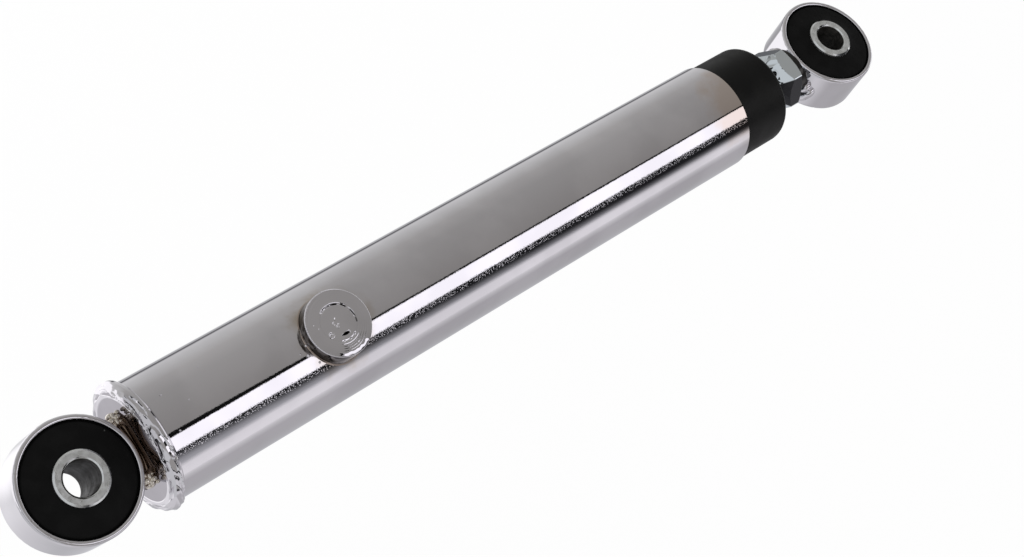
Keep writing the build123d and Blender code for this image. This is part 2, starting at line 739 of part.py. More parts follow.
# End collar: a turned cap with its spigot in the tube's mouth and a pocket for the wiper
COLLAR_R = COLLAR_OD / 2
COLLAR_BORE_R = 13.5
WIPER_R = 9.5
WIPER_START = COLLAR_END - 4.0
COLLAR_EDGE = 1.5
COLLAR_LIP_R = ROD_R + 0.6
COLLAR_LIP = 3.0
with BuildPart() as end_collar:
    with BuildSketch(Plane.XY):
        with BuildLine():
            Polyline(
                (COLLAR_END, COLLAR_R - COLLAR_EDGE),
                (COLLAR_END, WIPER_R),
                (WIPER_START, WIPER_R),
                (WIPER_START, COLLAR_LIP_R),
                (WIPER_START - COLLAR_LIP, COLLAR_LIP_R),
                (WIPER_START - COLLAR_LIP, COLLAR_BORE_R),
                (COLLAR_START, COLLAR_BORE_R),
                (COLLAR_START, INSERT_R),
                (TUBE_END, INSERT_R),
                (TUBE_END, COLLAR_R),
                (COLLAR_END - COLLAR_EDGE, COLLAR_R),
            )
            RadiusArc(
                (COLLAR_END - COLLAR_EDGE, COLLAR_R),
                (COLLAR_END, COLLAR_R - COLLAR_EDGE),
                COLLAR_EDGE,
            )
        make_face()
    revolve(axis=Axis.X)
end_collar.part.label = "end_collar"
export_step(end_collar.part, "parts/end_collar.step")

with BuildPart() as rod_wiper:
    revolve(
        half_profile(
            (WIPER_START, WIPER_R),
            (COLLAR_END - 0.6, WIPER_R),
            (COLLAR_END - 0.6, SEAL_BORE_R + 1.6),
            (COLLAR_END + 0.2, SEAL_BORE_R + 0.5),
            (COLLAR_END, SEAL_BORE_R),
            (COLLAR_END - 0.8, SEAL_BORE_R),
            (WIPER_START + 1.0, SEAL_BORE_R + 1.4),
            (WIPER_START, SEAL_BORE_R + 1.4),
        ),
        axis=Axis.X,
    )
rod_wiper.part.label = "rod_wiper"
export_step(rod_wiper.part, "parts/rod_wiper.step")

# Threaded socket that carries the upper eye: a spanner hexagon and a round neck up to the ring
SOCKET_CORNER_CUT = 1.2
SOCKET_NOSE_R = 9.7
SOCKET_NOSE_LENGTH = 2.9
TIP_ROOM = 0.3
with BuildPart() as upper_eye_socket:
    hexagon = hexagon_nut(
        SOCKET_START, SOCKET_HEX_HEIGHT, SOCKET_HEX_WIDTH, ROD_R, SOCKET_TURN, SOCKET_CORNER_CUT
    )
    add(hexagon.part)
    nose = half_profile(
        (SOCKET_START, 0),
        (SOCKET_START, SOCKET_NOSE_R),
        (SOCKET_START + SOCKET_NOSE_LENGTH, SOCKET_HEX_WIDTH / sqrt(3)),
        (SOCKET_HEX_END, SOCKET_HEX_WIDTH / sqrt(3)),
        (SOCKET_HEX_END, 0),
    )
    revolve(nose, axis=Axis.X, mode=Mode.INTERSECT)
    with BuildSketch(across(SOCKET_HEX_END)):
        Circle(SOCKET_R)
    extrude(amount=EYE_TO_EYE - SOCKET_HEX_END)
    with BuildSketch(across(SOCKET_START)):
        Circle(ROD_R)
    extrude(amount=ROD_TIP + TIP_ROOM - SOCKET_START, mode=Mode.SUBTRACT)
    with BuildSketch(upper_eye.offset(-EYE_WIDTH)):
        Circle(EYE_R)
    extrude(amount=2 * EYE_WIDTH, mode=Mode.SUBTRACT)
upper_eye_socket.part.label = "upper_eye_socket"
export_step(upper_eye_socket.part, "parts/upper_eye_socket.step")

# Upper weld: two curved rows of drops that follow the line where the socket meets the eye ring
UPPER_BEAD_R = 1.7
UPPER_BEAD_RING = SOCKET_R + 0.5
UPPER_BEAD_STEP = 15
UPPER_BEAD_SPAN = 45
UPPER_BEAD_RISE = 0.6
with BuildPart() as upper_eye_weld:
    for middle in (0, 180):
        drops = []
        for turn in range(middle - UPPER_BEAD_SPAN, middle + UPPER_BEAD_SPAN + 1, UPPER_BEAD_STEP):
            sideways = UPPER_BEAD_RING * cos(radians(turn))
            along_bolt = UPPER_BEAD_RING * sin(radians(turn))
            back = sqrt(EYE_R**2 - sideways**2) + UPPER_BEAD_RISE
            drops.append(upper_eye.from_local_coords(Vector(-back, sideways, along_bolt)))
        with Locations(*drops):
            Sphere(UPPER_BEAD_R)
    with BuildSketch(upper_eye.offset(-EYE_WIDTH)):
        Circle(EYE_R)
    extrude(amount=2 * EYE_WIDTH, mode=Mode.SUBTRACT)
    with BuildSketch(across(SOCKET_START)):
        Circle(SOCKET_R)
    extrude(amount=EYE_TO_EYE - SOCKET_START, mode=Mode.SUBTRACT)
upper_eye_weld.part.label = "upper_eye_weld"
export_step(upper_eye_weld.part, "parts/upper_eye_weld.step")
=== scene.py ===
import json
from math import cos, hypot, pi, radians, sin, sqrt

import bmesh
import bpy
from mathutils import Matrix, Vector, noise


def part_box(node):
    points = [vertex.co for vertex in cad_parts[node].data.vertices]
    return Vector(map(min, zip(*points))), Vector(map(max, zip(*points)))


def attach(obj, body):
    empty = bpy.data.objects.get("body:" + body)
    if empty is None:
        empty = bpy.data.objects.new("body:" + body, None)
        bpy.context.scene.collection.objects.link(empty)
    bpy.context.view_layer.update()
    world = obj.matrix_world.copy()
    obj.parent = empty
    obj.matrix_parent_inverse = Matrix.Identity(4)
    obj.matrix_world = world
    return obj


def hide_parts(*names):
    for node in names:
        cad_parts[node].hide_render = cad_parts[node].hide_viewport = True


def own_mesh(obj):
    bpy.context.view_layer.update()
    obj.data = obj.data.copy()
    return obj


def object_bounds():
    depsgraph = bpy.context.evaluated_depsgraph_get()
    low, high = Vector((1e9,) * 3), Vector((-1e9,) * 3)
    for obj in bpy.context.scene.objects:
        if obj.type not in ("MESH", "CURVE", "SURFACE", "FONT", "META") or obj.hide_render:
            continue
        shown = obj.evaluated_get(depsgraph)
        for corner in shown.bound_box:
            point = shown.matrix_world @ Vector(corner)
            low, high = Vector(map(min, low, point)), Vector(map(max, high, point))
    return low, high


# Looks of a chromed motorcycle damper: its plating, welds, turned faces, rubber and zinc.
# Everything is in metres in the part's own frame: X along the damper, Z along the lower eye's bolt.
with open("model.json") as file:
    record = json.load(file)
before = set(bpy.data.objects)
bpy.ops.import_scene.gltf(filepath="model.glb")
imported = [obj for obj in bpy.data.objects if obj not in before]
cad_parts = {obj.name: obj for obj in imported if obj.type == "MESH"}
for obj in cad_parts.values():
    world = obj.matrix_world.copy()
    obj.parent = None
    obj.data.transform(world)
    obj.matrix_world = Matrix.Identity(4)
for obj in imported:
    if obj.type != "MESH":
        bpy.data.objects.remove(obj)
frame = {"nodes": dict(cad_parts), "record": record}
cad_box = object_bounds()
nodes = frame["nodes"]
MM = 0.001
ORIGIN = Vector((0, 0, 0))
ALONG = Vector((1, 0, 0))

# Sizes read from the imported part
TUBE_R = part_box("outer_tube")[1].y
TUBE_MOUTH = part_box("outer_tube")[1].x
PLATE_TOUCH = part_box("end_plate")[0].x
EYE_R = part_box("lower_eye_ring")[1].y
SLEEVE_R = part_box("lower_bush_sleeve")[1].y
SLEEVE_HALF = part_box("lower_bush_sleeve")[1].z
HEX_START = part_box("upper_eye_socket")[0].x
boss_low, boss_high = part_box("side_boss")
BOSS_X = (boss_low.x + boss_high.x) / 2
BOSS_R = (boss_high.x - boss_low.x) / 2
upper_low, upper_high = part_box("upper_bush_sleeve")
UPPER_X = (upper_low.x + upper_high.x) / 2
mounts = {mount["name"]: mount for mount in frame["record"]["mounts"]}
lower_bolt = Vector(mounts["lower_eye_bore"]["axis"]).normalized()
upper_bolt = Vector(mounts["upper_eye_bore"]["axis"]).normalized()
boss_axis = Vector(mounts["side_boss_rim"]["axis"]).normalized()
BOSS_TOP = Vector(mounts["side_boss_rim"]["pos_m"]).dot(boss_axis)

# Sizes of the visible surface that the part leaves plain
BORE_R = 5.05 * MM
DOME_RADIUS = 70.7 * MM
HEX_END = HEX_START + 8.4 * MM
GROOVE_R = 5.5 * MM
# On the boss's face, u runs along the damper and v along boss_across, both in millimetres from its middle
boss_across = boss_axis.cross(ALONG)
# The nick beside the seam: its u and v, half length, half width and depth
NICK = (0.23, -3.57, 1.5, 0.5, 1.0)


def linear(hex_colour):
    """An sRGB hex colour as linear RGBA."""
    channels = [int(hex_colour[i : i + 2], 16) / 255 for i in (1, 3, 5)]
    return [c / 12.92 if c <= 0.04045 else ((c + 0.055) / 1.055) ** 2.4 for c in channels] + [1.0]


def add_node(tree, kind, inputs=(), **settings):
    """Adds a shader node with its settings and links, and returns its outputs.

    inputs holds values, sRGB hex colours or sockets, in the node's own order or by name or number.
    """
    node = tree.nodes.new("ShaderNode" + kind)
    for name, value in settings.items():
        setattr(node, name, value)
    for name, value in inputs.items() if isinstance(inputs, dict) else enumerate(inputs):
        if isinstance(value, bpy.types.NodeSocket):
            tree.links.new(value, node.inputs[name])
        else:
            node.inputs[name].default_value = linear(value) if isinstance(value, str) else value
    return node.outputs


# The setting of a Map Range node that eases between its ends, so that a mask has no hard edge
EASED = {"interpolation_type": "SMOOTHSTEP"}


def per(millimetres):
    """A pattern's scale for a feature of this size, with coordinates in metres."""
    return 1 / (millimetres * MM)


def new_material(name, colour, metallic, roughness, **inputs):
    """A material with one Principled BSDF, its tree, the shader and the part's coordinates."""
    material = bpy.data.materials.new(name)
    material.use_nodes = True
    tree = material.node_tree
    shader = tree.nodes["Principled BSDF"]
    shader.inputs["Base Color"].default_value = linear(colour)
    shader.inputs["Metallic"].default_value = metallic
    shader.inputs["Roughness"].default_value = roughness
    for socket, value in inputs.items():
        shader.inputs[socket.replace("_", " ")].default_value = value
    return material, tree, shader, add_node(tree, "TexCoord")["Object"]


# Masks: each gives 1 where it holds and 0 where it doesn't
def band(tree, value, start, full, still_full, end):
    """1 between full and still_full, easing to 0 at start and at end."""
    rise = add_node(tree, "MapRange", (value, start, full, 0, 1), **EASED)[0]
    fall = add_node(tree, "MapRange", (value, still_full, end, 1, 0), **EASED)[0]
    return add_node(tree, "Math", (rise, fall), operation="MULTIPLY")[0]


def angle_of(tree, up, across):
    """The angle in degrees of a point that lies this far up and across."""
    angle = add_node(tree, "Math", (up, across), operation="ARCTAN2")[0]
    return add_node(tree, "Math", (angle,), operation="DEGREES")[0]


def around_x(tree, place):
    """The angle about the damper's axis in degrees, 90 straight up."""
    axes = add_node(tree, "SeparateXYZ", (place,))
    return angle_of(tree, axes["Z"], axes["Y"])


def heat_spread(centre, radius):
    """A patchy round zone by a weld, where heat has coloured the plating."""

    def mask(tree, place):
        distance = add_node(tree, "VectorMath", (place, centre), operation="DISTANCE")["Value"]
        cloud = add_node(tree, "TexNoise", {"Vector": place, "Scale": per(5), "Detail": 3.0})[0]
        patchy = add_node(tree, "Math", (cloud, radius * 0.8, distance), operation="MULTIPLY_ADD")[0]
        return add_node(tree, "MapRange", (patchy, radius * 0.9, radius * 1.6, 1, 0), **EASED)[0]

    return mask


def boss_wall(tree, place):
    """The boss's turned wall below its flat face, browned in patches."""
    height = add_node(tree, "VectorMath", (place, boss_axis), operation="DOT_PRODUCT")["Value"]
    wall = add_node(tree, "MapRange", (height, BOSS_TOP - 0.5 * MM, BOSS_TOP - 0.3 * MM, 1, 0), **EASED)[0]
    cloud = add_node(tree, "TexNoise", {"Vector": place, "Scale": per(3.5), "Detail": 3.0})[0]
    patches = add_node(tree, "MapRange", (cloud, 0.34, 0.5, 0.6, 1.0), **EASED)[0]
    return add_node(tree, "Math", (wall, patches), operation="MULTIPLY")[0]


def seam_dirt(tree, place):
    """Polish left dark in a part of the plug's seam, and in the nick beside it."""
    from_middle = add_node(tree, "VectorMath", (place, (BOSS_X, 0.0, 0.0)), operation="SUBTRACT")[0]
    u = add_node(tree, "SeparateXYZ", (from_middle,))["X"]
    v = add_node(tree, "VectorMath", (from_middle, boss_across), operation="DOT_PRODUCT")["Value"]
    spot = add_node(tree, "CombineXYZ", (u, v))[0]
    radius = add_node(tree, "VectorMath", (spot,), operation="LENGTH")["Value"]
    off_seam = add_node(tree, "Math", (radius, GROOVE_R), operation="SUBTRACT")[0]
    off_seam = add_node(tree, "Math", (off_seam,), operation="ABSOLUTE")[0]
    on_seam = add_node(tree, "MapRange", (off_seam, 0.14 * MM, 0.34 * MM, 1, 0), **EASED)[0]
    turn = angle_of(tree, v, u)
    dashes = band(tree, turn, -26, -22, 16, 22)
    arc = band(tree, turn, 30, 36, 88, 94)
    arcs = add_node(tree, "Math", (dashes, 0.8, arc), operation="MULTIPLY_ADD")[0]
    cloud = add_node(tree, "TexNoise", {"Vector": place, "Scale": per(1.1), "Detail": 1.0})[0]
    broken = add_node(tree, "MapRange", (cloud, 0.4, 0.5, 0.25, 1.0), **EASED)[0]
    arcs = add_node(tree, "Math", (arcs, broken), operation="MULTIPLY")[0]
    seam = add_node(tree, "Math", (arcs, on_seam), operation="MULTIPLY")[0]
    nick_u, nick_v, half_length, half_width, _ = (size * MM for size in NICK)
    from_nick = add_node(tree, "VectorMath", (spot, (nick_u, nick_v, 0.0)), operation="SUBTRACT")[0]
    nick_size = (half_length * 0.85, half_width, 1.0)
    in_nick = add_node(tree, "VectorMath", (from_nick, nick_size), operation="DIVIDE")[0]
    square = add_node(tree, "VectorMath", (in_nick, in_nick), operation="DOT_PRODUCT")["Value"]
    nick = add_node(tree, "MapRange", (square, 0.6, 1.0, 1, 0), **EASED)[0]
    return add_node(tree, "Math", (seam, nick), operation="MAXIMUM")[0]


def boss_foot(tree, place):
    """The foot of the boss, where brazing heat has left a peach tint."""
    across = add_node(tree, "VectorMath", (place, (0, 1, 1)), operation="MULTIPLY")[0]
    out = add_node(tree, "VectorMath", (across,), operation="LENGTH")["Value"]
    return add_node(tree, "MapRange", (out, TUBE_R, TUBE_R + 0.7 * MM, 1, 0), **EASED)[0]


def all_over(tree, place):
    """The whole piece, where the plating came out a satin instead of a mirror."""
    cloud = add_node(tree, "TexNoise", {"Vector": place, "Scale": per(2.5), "Detail": 3.0})[0]
    return add_node(tree, "MapRange", (cloud, 0.3, 0.45, 0.7, 1.0), **EASED)[0]


def painted_shade_on_under_flat(tree, place):
    """The hexagon's underside flat: its dark colour is painted shade, and it is also made dull."""
    flat = band(tree, around_x(tree, place), 108.5, 110.5, 166.5, 168.5)
    along = add_node(tree, "SeparateXYZ", (place,))["X"]
    hexagon = add_node(tree, "MapRange", (along, HEX_END - 0.2 * MM, HEX_END + 0.4 * MM, 1, 0), **EASED)[0]
    return add_node(tree, "Math", (flat, hexagon), operation="MULTIPLY")[0]


def painted_shade_behind_hexagon(tree, place):
    """The neck behind the hexagon, under the ring, darkened with painted shade and made a little duller."""
    along = add_node(tree, "SeparateXYZ", (place,))["X"]
    return add_node(tree, "MapRange", (along, HEX_END + 0.05 * MM, HEX_END + 0.2 * MM, 0, 1), **EASED)[0]


def shaded_side(tree, place):
    """The strip along the tube that the polishing wheel left grainy."""
    return band(tree, around_x(tree, place), 109.2, 110.6, 114.5, 118.5)


# Kinds of finish
def chrome_plate(
    name, wave_mm, wave_height, grain_mm, grain_height, light="#dfdde1", stains_and_painted_shade=(), coarse=None
):
    """Bright chrome plate over steel: a mirror that follows every dip of the metal under it.

    The waves are the unevenness of the steel, and the grain is its polishing scratches and pits, which are
    a few hundredths of a millimetre in reality and are drawn several times as coarse so that they show.
    Each stain or painted shade is a mask, a colour and a roughness. coarse masks the part with strong
    grain.
    """
    material, tree, shader, place = new_material(name, light, 1.0, 0.04)
    haze = add_node(tree, "TexNoise", {"Vector": place, "Scale": per(22), "Detail": 4.0})[0]
    shade = add_node(tree, "MapRange", (haze, 0.38, 0.62, 0, 1), **EASED)[0]
    dark = "#" + "".join(f"{max(int(light[i : i + 2], 16) - 9, 0):02x}" for i in (1, 3, 5))
    colour = add_node(tree, "Mix", {0: shade, 6: dark, 7: light}, data_type="RGBA")[2]
    smear = add_node(tree, "TexNoise", {"Vector": place, "Scale": per(14), "Detail": 3.0})[0]
    roughness = add_node(tree, "MapRange", (smear, 0.35, 0.7, 0.012, 0.045), **EASED)[0]
    for mask, tint, tint_roughness in stains_and_painted_shade:
        zone = mask(tree, place)
        colour = add_node(tree, "Mix", {0: zone, 6: colour, 7: tint}, data_type="RGBA")[2]
        dulled = add_node(tree, "Math", (zone, tint_roughness), operation="MULTIPLY")[0]
        roughness = add_node(tree, "Math", (roughness, dulled), operation="MAXIMUM")[0]
    tree.links.new(colour, shader.inputs["Base Color"])
    tree.links.new(roughness, shader.inputs["Roughness"])
    waves = add_node(tree, "TexNoise", {"Vector": place, "Scale": per(wave_mm), "Detail": 1.0})[0]
    waved = add_node(tree, "Bump", {"Height": waves, "Strength": 1.0, "Distance": wave_height * MM})[0]
    grain = add_node(tree, "TexNoise", {"Vector": place, "Scale": per(grain_mm), "Detail": 2.0})[0]
    if coarse:
        cells = add_node(tree, "TexVoronoi", {"Vector": place, "Scale": per(0.36)})["Distance"]
        pips = add_node(tree, "MapRange", (cells, 0.05, 0.4, 5.0, 0), **EASED)[0]
        strip = coarse(tree, place)
        grain = add_node(tree, "Math", (pips, strip, grain), operation="MULTIPLY_ADD")[0]
    fine_inputs = {"Height": grain, "Strength": 1.0, "Distance": grain_height * MM, "Normal": waved}
    tree.links.new(add_node(tree, "Bump", fine_inputs)[0], shader.inputs["Normal"])
    return material


def patchy(tree, shader, cloud, low, high, dark, light, smooth, rough):
    """Lets a cloud move the shader between two tones and between two roughnesses."""
    share = add_node(tree, "MapRange", (cloud, low, high, 0, 1), **EASED)[0]
    colour = add_node(tree, "Mix", {0: share, 6: dark, 7: light}, data_type="RGBA")[2]
    roughness = add_node(tree, "MapRange", (cloud, 0.3, 0.7, smooth, rough), **EASED)[0]
    tree.links.new(colour, shader.inputs["Base Color"])
    tree.links.new(roughness, shader.inputs["Roughness"])


def black_coat():
    """Satin black electrocoat on a turned steel cap: an even black with a soft sheen along its edges.

    The real turning lines under the coat are about 0.1 mm apart; they are drawn 0.5 mm apart to show.
    """
    material, tree, shader, place = new_material(
        "satin_black_electrocoat", "#0b0b0b", 0.0, 0.42, Specular_IOR_Level=0.12
    )
    cloud = add_node(tree, "TexNoise", {"Vector": place, "Scale": per(9), "Detail": 3.0})[0]
    patchy(tree, shader, cloud, 0.35, 0.65, "#090909", "#0e0e0d", 0.36, 0.5)
    stretched = add_node(tree, "Mapping", {"Vector": place, "Scale": (per(0.5), per(40), per(40))})[0]
    lines = add_node(tree, "TexNoise", {"Vector": stretched, "Scale": 1.0, "Detail": 2.0})[0]
    peel = add_node(tree, "TexNoise", {"Vector": place, "Scale": per(0.4), "Detail": 2.0})[0]
    height = add_node(tree, "Math", (peel, lines), operation="ADD")[0]
    bump = add_node(tree, "Bump", {"Height": height, "Strength": 0.6, "Distance": 0.01 * MM})[0]
    tree.links.new(bump, shader.inputs["Normal"])
    return material


def moulded_rubber(name, dark, light, roughness):
    """Moulded rubber: matt and almost black, with a fine skin and a few grey specks of dust."""
    material, tree, shader, place = new_material(name, dark, 0.0, roughness, Specular_IOR_Level=0.06)
    cloud = add_node(tree, "TexNoise", {"Vector": place, "Scale": per(5), "Detail": 4.0})[0]
    share = add_node(tree, "MapRange", (cloud, 0.35, 0.7, 0, 1), **EASED)[0]
    colour = add_node(tree, "Mix", {0: share, 6: dark, 7: light}, data_type="RGBA")[2]
    specks = add_node(tree, "TexNoise", {"Vector": place, "Scale": per(0.7), "Detail": 1.0})[0]
    dust = add_node(tree, "MapRange", (specks, 0.8, 0.86, 0, 0.6), **EASED)[0]
    colour = add_node(tree, "Mix", {0: dust, 6: colour, 7: "#5a5a58"}, data_type="RGBA")[2]
    tree.links.new(colour, shader.inputs["Base Color"])
    skin = add_node(tree, "TexNoise", {"Vector": place, "Scale": per(0.5), "Detail": 3.0})[0]
    bump = add_node(tree, "Bump", {"Height": skin, "Strength": 0.7, "Distance": 0.02 * MM})[0]
    tree.links.new(bump, shader.inputs["Normal"])
    return material


def zinc_plate(name, dark, light, roughness, pit_height=0.02, metallic=1.0, **inputs):
    """Clear zinc plate on turned steel: a dull silver with cloudy patches and small nicks."""
    material, tree, shader, place = new_material(name, light, metallic, roughness, **inputs)
    cloud = add_node(tree, "TexNoise", {"Vector": place, "Scale": per(1.6), "Detail": 5.0})[0]
    patchy(tree, shader, cloud, 0.35, 0.65, dark, light, roughness - 0.08, roughness + 0.1)
    pits = add_node(tree, "TexNoise", {"Vector": place, "Scale": per(0.45), "Detail": 3.0})[0]
    bump = add_node(tree, "Bump", {"Height": pits, "Strength": 0.8, "Distance": pit_height * MM})[0]
    tree.links.new(bump, shader.inputs["Normal"])
    return material


def worked_metal(name, dark, light, roughness, grain_mm, grain_height, lines=False):
    """Bare metal with its working marks: an even grain, or lines round X where it is turned or ground."""
    material, tree, shader, place = new_material(name, light, 1.0, roughness)
    cloud = add_node(tree, "TexNoise", {"Vector": place, "Scale": per(6), "Detail": 4.0})[0]
    patchy(tree, shader, cloud, 0.3, 0.7, dark, light, roughness * 0.8, roughness * 1.25)
    across = per(30) if lines else per(grain_mm)
    stretched = add_node(tree, "Mapping", {"Vector": place, "Scale": (per(grain_mm), across, across)})[0]
    grain = add_node(tree, "TexNoise", {"Vector": stretched, "Scale": 1.0, "Detail": 3.0})[0]
    bump = add_node(tree, "Bump", {"Height": grain, "Strength": 1.0, "Distance": grain_height * MM})[0]
    tree.links.new(bump, shader.inputs["Normal"])
    return material


def moulded_plastic():
    """Filled fluoropolymer, moulded: a soft brown with bronze flecks, drawn coarse so that they show."""
    material, tree, shader, place = new_material("filled_fluoropolymer", "#59452f", 0.0, 0.45)
    fleck = add_node(tree, "TexNoise", {"Vector": place, "Scale": per(0.4), "Detail": 2.0})[0]
    patchy(tree, shader, fleck, 0.4, 0.65, "#4a3a28", "#7a6244", 0.38, 0.55)
    bump = add_node(tree, "Bump", {"Height": fleck, "Strength": 0.5, "Distance": 0.01 * MM})[0]
    tree.links.new(bump, shader.inputs["Normal"])
    return material


# Finishes, each with what it gives the eye
boss_place = tuple(Vector((BOSS_X, 0, 0)) + boss_axis * TUBE_R)
mouth_place = (TUBE_MOUTH, 0.0, TUBE_R)
pocket_place = (EYE_R + 1.0 * MM, 0.0, 3 * MM)
boss_heat = (heat_spread(boss_place, 12.5 * MM), "#bdb1a2", 0.0)
mouth_heat = (heat_spread(mouth_place, 15 * MM), "#d3c7c0", 0.0)
tube_stains = (boss_heat, mouth_heat)
plate_stains = ((heat_spread(pocket_place, 8 * MM), "#6a5b50", 0.05),)
bead_stains = ((all_over, "#7d6d5f", 0.24),)
# Polished tube: long clean reflections, a peach haze by the boss and at the mouth, and one grainy strip
tube_chrome = chrome_plate(
    "bright_chrome_on_polished_tube", 9, 0.010, 0.36, 0.005, stains_and_painted_shade=tube_stains, coarse=shaded_side
)
# Pressed plate: a greyer, softer mirror, browned where the eye is welded on
plate_chrome = chrome_plate("hazy_chrome_on_pressed_plate", 5, 0.02, 0.8, 0.006, "#aaa7ac", plate_stains)
# Rolled ring: a mirror with slow waves from the rolling
ring_chrome = chrome_plate("bright_chrome_on_rolled_ring", 5, 0.02, 0.9, 0.006)
# Edge weld: folds that each catch their own sharp highlight
crown_chrome = chrome_plate("bright_chrome_on_edge_weld", 2.5, 0.015, 0.5, 0.002)
# Fillet beside the arc: a brown satin that reads dark between the mirrors round it
bead_chrome = chrome_plate("heat_browned_chrome_on_weld", 3, 0.004, 0.6, 0.001, "#7d6d5f", bead_stains)
# Clumped beads: small bright drops with a faint gold tint
clump_chrome = chrome_plate("gold_tinted_chrome_on_weld", 3, 0.004, 0.5, 0.001, light="#ddd6cb")
# Forged hexagon: cool bright flats, with painted shade darkening the underside flat and the neck behind
# them, which are also made duller
hexagon_painted_shade = ((painted_shade_on_under_flat, "#3e3e41", 0.45), (painted_shade_behind_hexagon, "#3a3938", 0.18))
hexagon_chrome = chrome_plate(
    "bright_chrome_on_forged_hexagon", 5, 0.01, 0.8, 0.004, light="#dfe6ea", stains_and_painted_shade=hexagon_painted_shade
)
# Turned boss: a bright flat face with a dark seam, over a browned wall and a peach foot
boss_stains = ((boss_wall, "#2f2721", 0.1), (boss_foot, "#a2958b", 0.05), (seam_dirt, "#171513", 0.4))
boss_chrome = chrome_plate("bright_chrome_on_turned_boss", 5, 0.006, 0.8, 0.003, stains_and_painted_shade=boss_stains)
# Ground rod: a tight, slightly soft shine, with grinding lines drawn 0.25 mm apart, coarser than real
rod_chrome = worked_metal("ground_hard_chrome", "#c6c8ca", "#d2d4d6", 0.12, 0.25, 0.001, lines=True)
black = black_coat()
# Bush rubber: the blackest surface, with hardly any shine
bush_rubber = moulded_rubber("moulded_natural_rubber", "#0c0c0c", "#101010", 0.62)
# Seal rubber: black with a slightly oily sheen
seal_rubber = moulded_rubber("moulded_nitrile_rubber", "#0e0e0f", "#151516", 0.5)
# Sleeve: a pale dull silver, brighter on its polished chamfers, nearly black in the bore, where the dark is
# painted shade
sleeve_zinc = zinc_plate("clear_zinc_on_turned_sleeve", "#d4d6d6", "#e0e2e2", 0.34)
chamfer_zinc = zinc_plate("clear_zinc_on_polished_chamfer", "#d6d8d8", "#e6e8e8", 0.16, pit_height=0.008)
# The bore's near-black, non-metal colour is painted shade for the inside of the bore
bore_painted_shade = zinc_plate(
    "dark_bore_painted_shade", "#1f1e1d", "#32302e", 0.4, 0.01, metallic=0.0, Specular_IOR_Level=0.12
)
# Nuts: a cool blue-grey silver
nut_zinc = zinc_plate("blue_zinc_on_nut", "#8b9197", "#a9afb5", 0.33)
# Sintered iron: a dark matt grey with an open grain
sintered = worked_metal("sintered_iron", "#4f4f50", "#6c6c6e", 0.55, 0.3, 0.02)
# Bushing bronze: a warm yellow brown with a soft shine
bronze = worked_metal("lead_bronze_bushing", "#8d6a3c", "#a98450", 0.38, 0.4, 0.006)
# Drawn steel: a bright mid grey with lines round it, drawn 0.35 mm apart so that they show
drawn = worked_metal("bright_drawn_steel", "#85868a", "#a0a1a4", 0.28, 0.35, 0.004, lines=True)
# Spring steel: the dark blue of tempered strip
spring = worked_metal("blued_spring_steel", "#4c5668", "#6d7684", 0.25, 0.5, 0.003)
plastic = moulded_plastic()

FINISHES = {
    "bright_chrome": tube_chrome,
    "black_collar": black,
    "hard_chrome_rod": rod_chrome,
    "zinc_sleeve": sleeve_zinc,
    "zinc_nut": nut_zinc,
    "bush_rubber": bush_rubber,
    "seal_rubber": seal_rubber,
    "sintered_iron": sintered,
    "bushing_bronze": bronze,
    "ring_plastic": plastic,
    "drawn_steel": drawn,
    "spring_steel": spring,
}
slots = {row["node"]: row["material_slot"] for row in frame["record"]["subparts"]}
for name, node in nodes.items():
    node.data.materials.clear()
    node.data.materials.append(plate_chrome if name == "end_plate" else FINISHES[slots[name]])


def ridged(point):
    """Creased noise: 1 along sharp ridges, falling towards 0 between them."""
    return 1 - min(1.0, 2.2 * abs(noise.noise(point)))


def sector(turn, low, high, soft=8.0):
    """1 for a turn in radians between two angles in degrees, easing to 0 outside them."""
    middle = (low + high) / 2
    off = abs((turn * 180 / pi - middle + 180) % 360 - 180)
    share = ((high - low) / 2 + soft / 2 - off) / soft
    share = min(max(share, 0.0), 1.0)
    return share * share * (3 - 2 * share)


def fine(points, step):
    """A closed outline with its long sides divided into pieces of about this length."""
    result = []
    for i, start in enumerate(points):
        end = points[(i + 1) % len(points)]
        pieces = max(1, round(hypot(end[0] - start[0], end[1] - start[1]) / step))
        for k in range(pieces):
            share = k / pieces
            result.append((start[0] + (end[0] - start[0]) * share, start[1] + (end[1] - start[1]) * share))
    return result


def join_rows(bm, rows):
    """Joins closed rows of points with faces, each row to the next and the last to the first."""
    for i, row in enumerate(rows):
        following = rows[(i + 1) % len(rows)]
        for j in range(len(row)):
            k = (j + 1) % len(row)
            bm.faces.new((row[j], row[k], following[k], following[j]))


def turned(outline, count, origin, axis, first, relief=None, foot=None):
    """A turned solid: a closed outline of (along, radius) points spun about an axis.

    relief gives how far a point stands out of the outline, and foot replaces the along value of the
    points below it, so that a boss can fit the tube it stands on.
    """
    bm = bmesh.new()
    second = axis.cross(first)
    area = sum(a[0] * b[1] - b[0] * a[1] for a, b in zip(outline, outline[1:] + outline[:1]))
    outward = 1 if area < 0 else -1
    rows = []
    for i, (along, radius) in enumerate(outline):
        before = outline[i - 1]
        after = outline[(i + 1) % len(outline)]
        edge = Vector((after[0] - before[0], after[1] - before[1])).normalized()
        row = []
        for j in range(count):
            turn = 2 * pi * j / count
            lift = outward * relief(along, radius, turn) if relief else 0.0
            height = along - edge.y * lift
            if foot:
                height = foot(height, radius, turn)
            spoke = first * cos(turn) + second * sin(turn)
            row.append(bm.verts.new(origin + axis * height + spoke * max(radius + edge.x * lift, 0.0)))
        rows.append(row)
    join_rows(bm, rows)
    bmesh.ops.remove_doubles(bm, verts=bm.verts, dist=0.0005 * MM)
    return bm


